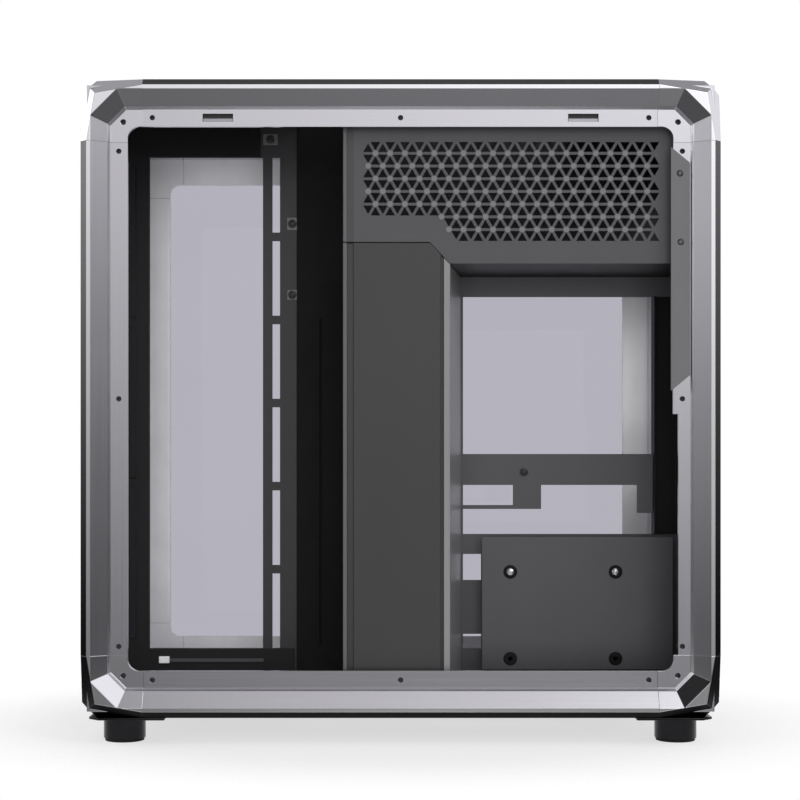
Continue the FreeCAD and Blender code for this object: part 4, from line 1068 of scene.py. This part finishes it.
# %% [markdown]
# ## Clip nuts
# The front bracket's three screws go into clip nuts, small folded plates pushed over the edge of the sheet.
# From the open side only their flat front shows, so a thin block with soft edges is enough.

# %% Clip nuts
CLIP_BACK, CLIP_BEVEL = -29.9, 0.3 * MM

clips = bmesh.new()
for (x, y, z), (width, height) in CLIPS.items():
    block(clips, (x - width / 2, y, z - height / 2), (x + width / 2, CLIP_BACK, z + height / 2))
bevel_edges(clips, CLIP_BEVEL)
added(clips, "clip_nuts", "clip_steel", smooth=False)
print(len(CLIPS), "clip nuts")

# %% [markdown]
# ## Slot screws
# Each card slot cover at the rear is held by a screw beside it. The slots have a fixed pitch, so one head is
# set in seven times down the rear panel.

# %% Slot screws
SLOT_COUNT, SLOT_PITCH = 7, 20.32
FIRST_SLOT = (233.2, 89.0, 191.7)

slot_screws = bmesh.new()
x, y, z = FIRST_SLOT
for i in range(SLOT_COUNT):
    set_in(slot_screws, slot_head, (x, y, z - SLOT_PITCH * i), TO_REAR)
added(slot_screws, "slot_screws", "screw_black")
print(SLOT_COUNT, "slot screws")

# %% [markdown]
# ## Lips round the rear openings
# The edges of the large openings in the rear panel are pressed outwards into a narrow lip, which stiffens the
# sheet. A lip is a flat ring, an inset sheet without its middle, that is made solid and then gets soft edges.

# %% Rear lips
LIP_WIDTH, LIP_HEIGHT, LIP_BEVEL = 1.4, 0.9, 0.3 * MM
REAR_FACE = 233.1
REAR_OPENINGS = {"supply": (-98.8, 31.2, 376.4, 442.4), "board": (-24.6, 19.9, 199.9, 358.7)}
TO_REAR_PLANE = Matrix(((0, 0, 1, 0), (1, 0, 0, 0), (0, 1, 0, 0), (0, 0, 0, 1)))

lips = bmesh.new()
for y0, y1, z0, z1 in REAR_OPENINGS.values():
    middle = Vector((REAR_FACE + LIP_HEIGHT, (y0 + y1) / 2, (z0 + z1) / 2)) * MM
    sides = Vector((y1 - y0, z1 - z0)) * MM + Vector((2, 2)) * LIP_WIDTH * MM
    where = Matrix.Translation(middle) @ TO_REAR_PLANE @ Matrix.Diagonal((*sides, 1, 1))
    grid = bmesh.ops.create_grid(lips, x_segments=1, y_segments=1, size=0.5, matrix=where)["verts"]
    pane = grid[0].link_faces[0]
    ring = bmesh.ops.inset_region(lips, faces=[pane], thickness=LIP_WIDTH * MM, use_boundary=True,
                                  use_even_offset=True)["faces"]
    bmesh.ops.delete(lips, geom=[pane], context="FACES")
    bmesh.ops.solidify(lips, geom=ring, thickness=LIP_HEIGHT * MM)
bmesh.ops.recalc_face_normals(lips, faces=lips.faces)
bevel_edges(lips, LIP_BEVEL)
added(lips, "rear_lips", "black_steel", smooth=False)
print(len(REAR_OPENINGS), "lips")

# %% [markdown]
# ## Ports on the top
# In the ports stand small tongues that carry the contacts: two broad ones and a thin one in the middle of the
# narrow port. A bright collar frames the round audio socket. It is turned, so the lathe makes it from a closed
# profile.

# %% Port tongues and collar
PORT_Y, PORT_FACE, PORT_DEPTH = -91.5, 494.2, 9
WIDE_PORTS_X, NARROW_PORT_X, AUDIO_X = (-153.0, -135.0), -117, -99
TONGUE_BEVEL = 0.12 * MM
COLLAR = [(2.0, -3.0), (1.95, 0.1), (2.2, 0.3), (2.7, 0.3), (2.9, 0.1), (2.9, -0.2), (2.0, -3.0)]

tongues = bmesh.new()
for x in WIDE_PORTS_X:
    block(tongues, (x - 5.4, PORT_Y + 0.1, PORT_FACE - PORT_DEPTH), (x + 5.4, PORT_Y + 1.7, PORT_FACE - 0.8))
block(tongues, (NARROW_PORT_X - 3.2, PORT_Y - 0.35, PORT_FACE - PORT_DEPTH),
      (NARROW_PORT_X + 3.2, PORT_Y + 0.35, PORT_FACE - 1.0))
bevel_edges(tongues, TONGUE_BEVEL)
added(tongues, "port_tongues", "black_plastic", smooth=False)

collar = bmesh.new()
set_in(collar, lathe("collar", COLLAR), (AUDIO_X, PORT_Y, PORT_FACE), TO_TOP)
added(collar, "audio_collar", "port_steel")
print(len(WIDE_PORTS_X) + 1, "port tongues and a collar")

# %% [markdown]
# ## Press nuts behind the flange holes
# The open side's holes are threaded: a press nut sits behind each one, so the hole is dark and not
# see-through. The nuts stay behind the flange, and the lathe gives each one a blind bore.

# %% Press nuts
CORNER_SPOTS = [(x, z) for x in (-209.5, 209.5) for z in (52.5, 470.5)]
RAIL_SPOTS = [(x, z) for x in (-187.5, 0.0, 187.5) for z in (49.2, 473.8)]
POST_SPOTS = [(x, z) for x in (-212.8, 212.8) for z in (74.5, 261.5, 448.5)]
NUT_SPOTS = CORNER_SPOTS + RAIL_SPOTS + POST_SPOTS
NUT_Y = -130

nut = lathe("nut", [(0, 1.0), (1.9, 1.0), (1.9, 3.0), (3.4, 3.0), (3.4, 0.0), (0, 0.0)])
nuts = bmesh.new()
for x, z in NUT_SPOTS:
    set_in(nuts, nut, (x, NUT_Y, z), TO_FRONT)
added(nuts, "press_nuts", "screw_black")
print(len(NUT_SPOTS), "press nuts")

# %% [markdown]
# ## Latches in the upper flange
# Two slots in the upper flange are spring latches. A black catch closes each slot from behind and has a small
# rib in its middle, and a bright tongue fills the lower part of the slot. All of it is made of blocks.

# %% Latches
LATCHES_X = (-138.0, 138.0)
CATCH_BEVEL, LATCH_BEVEL = 0.25 * MM, 0.3 * MM

catches = bmesh.new()
springs = bmesh.new()
for x in LATCHES_X:
    block(catches, (x - 14, -132.9, 469.5), (x + 14, -129, 479))
    block(catches, (x - 0.9, -134.2, 473.4), (x + 0.9, -132.8, 476.7))
    block(springs, (x - 11.2, -135.2, 470.9), (x + 11.2, -132.8, 473.4))
bevel_edges(catches, CATCH_BEVEL)
bevel_edges(springs, LATCH_BEVEL)
added(catches, "latch_catches", "black_plastic", smooth=False)
added(springs, "latch_tongues", "button_metal", smooth=False)
print(len(LATCHES_X), "latches")

# %% [markdown]
# ## Small trim in the back chamber
# A pale slide with a grey bar lies under the front bracket's window. A rubber strip closes the seam between
# the two covers from behind. A raised lip runs up the edge of the power supply cover in a lighter finish, a
# painted highlight, and beside it a band in a darker finish, painted shade. Each is a plain strip, so one table
# holds their corners, looks and bevels.

# %% Trim strips
STRIPS = {
    "window_slide": ((-195.4, -34.4, 50.2), (-186.8, -32, 55.8), "post_steel", "inner_face", 0.5),
    "window_slide_bar": ((-186.8, -33.6, 51.0), (-110.0, -32, 54.0), "grey_steel", "grey_steel", 0.4),
    "seam_seal": ((-42, -118.9, 375), (24, -117.4, 386), "black_rubber", "black_rubber", None),
    "psu_cover_lip": ((-43.6, -123.7, 382), (-40.8, -123, 489), "grey_steel", "cover_lip", 0.3),
    "psu_cover_band": ((-40.6, -123.3, 382), (-35.8, -122.9, 489), "grey_steel", "cover_band", 0.12),
}
for name, (low, high, slot, look, width) in STRIPS.items():
    strip = bmesh.new()
    block(strip, low, high)
    if width:
        bevel_edges(strip, width * MM)
    added(strip, name, look, smooth=False)
print(len(STRIPS), "trim strips")
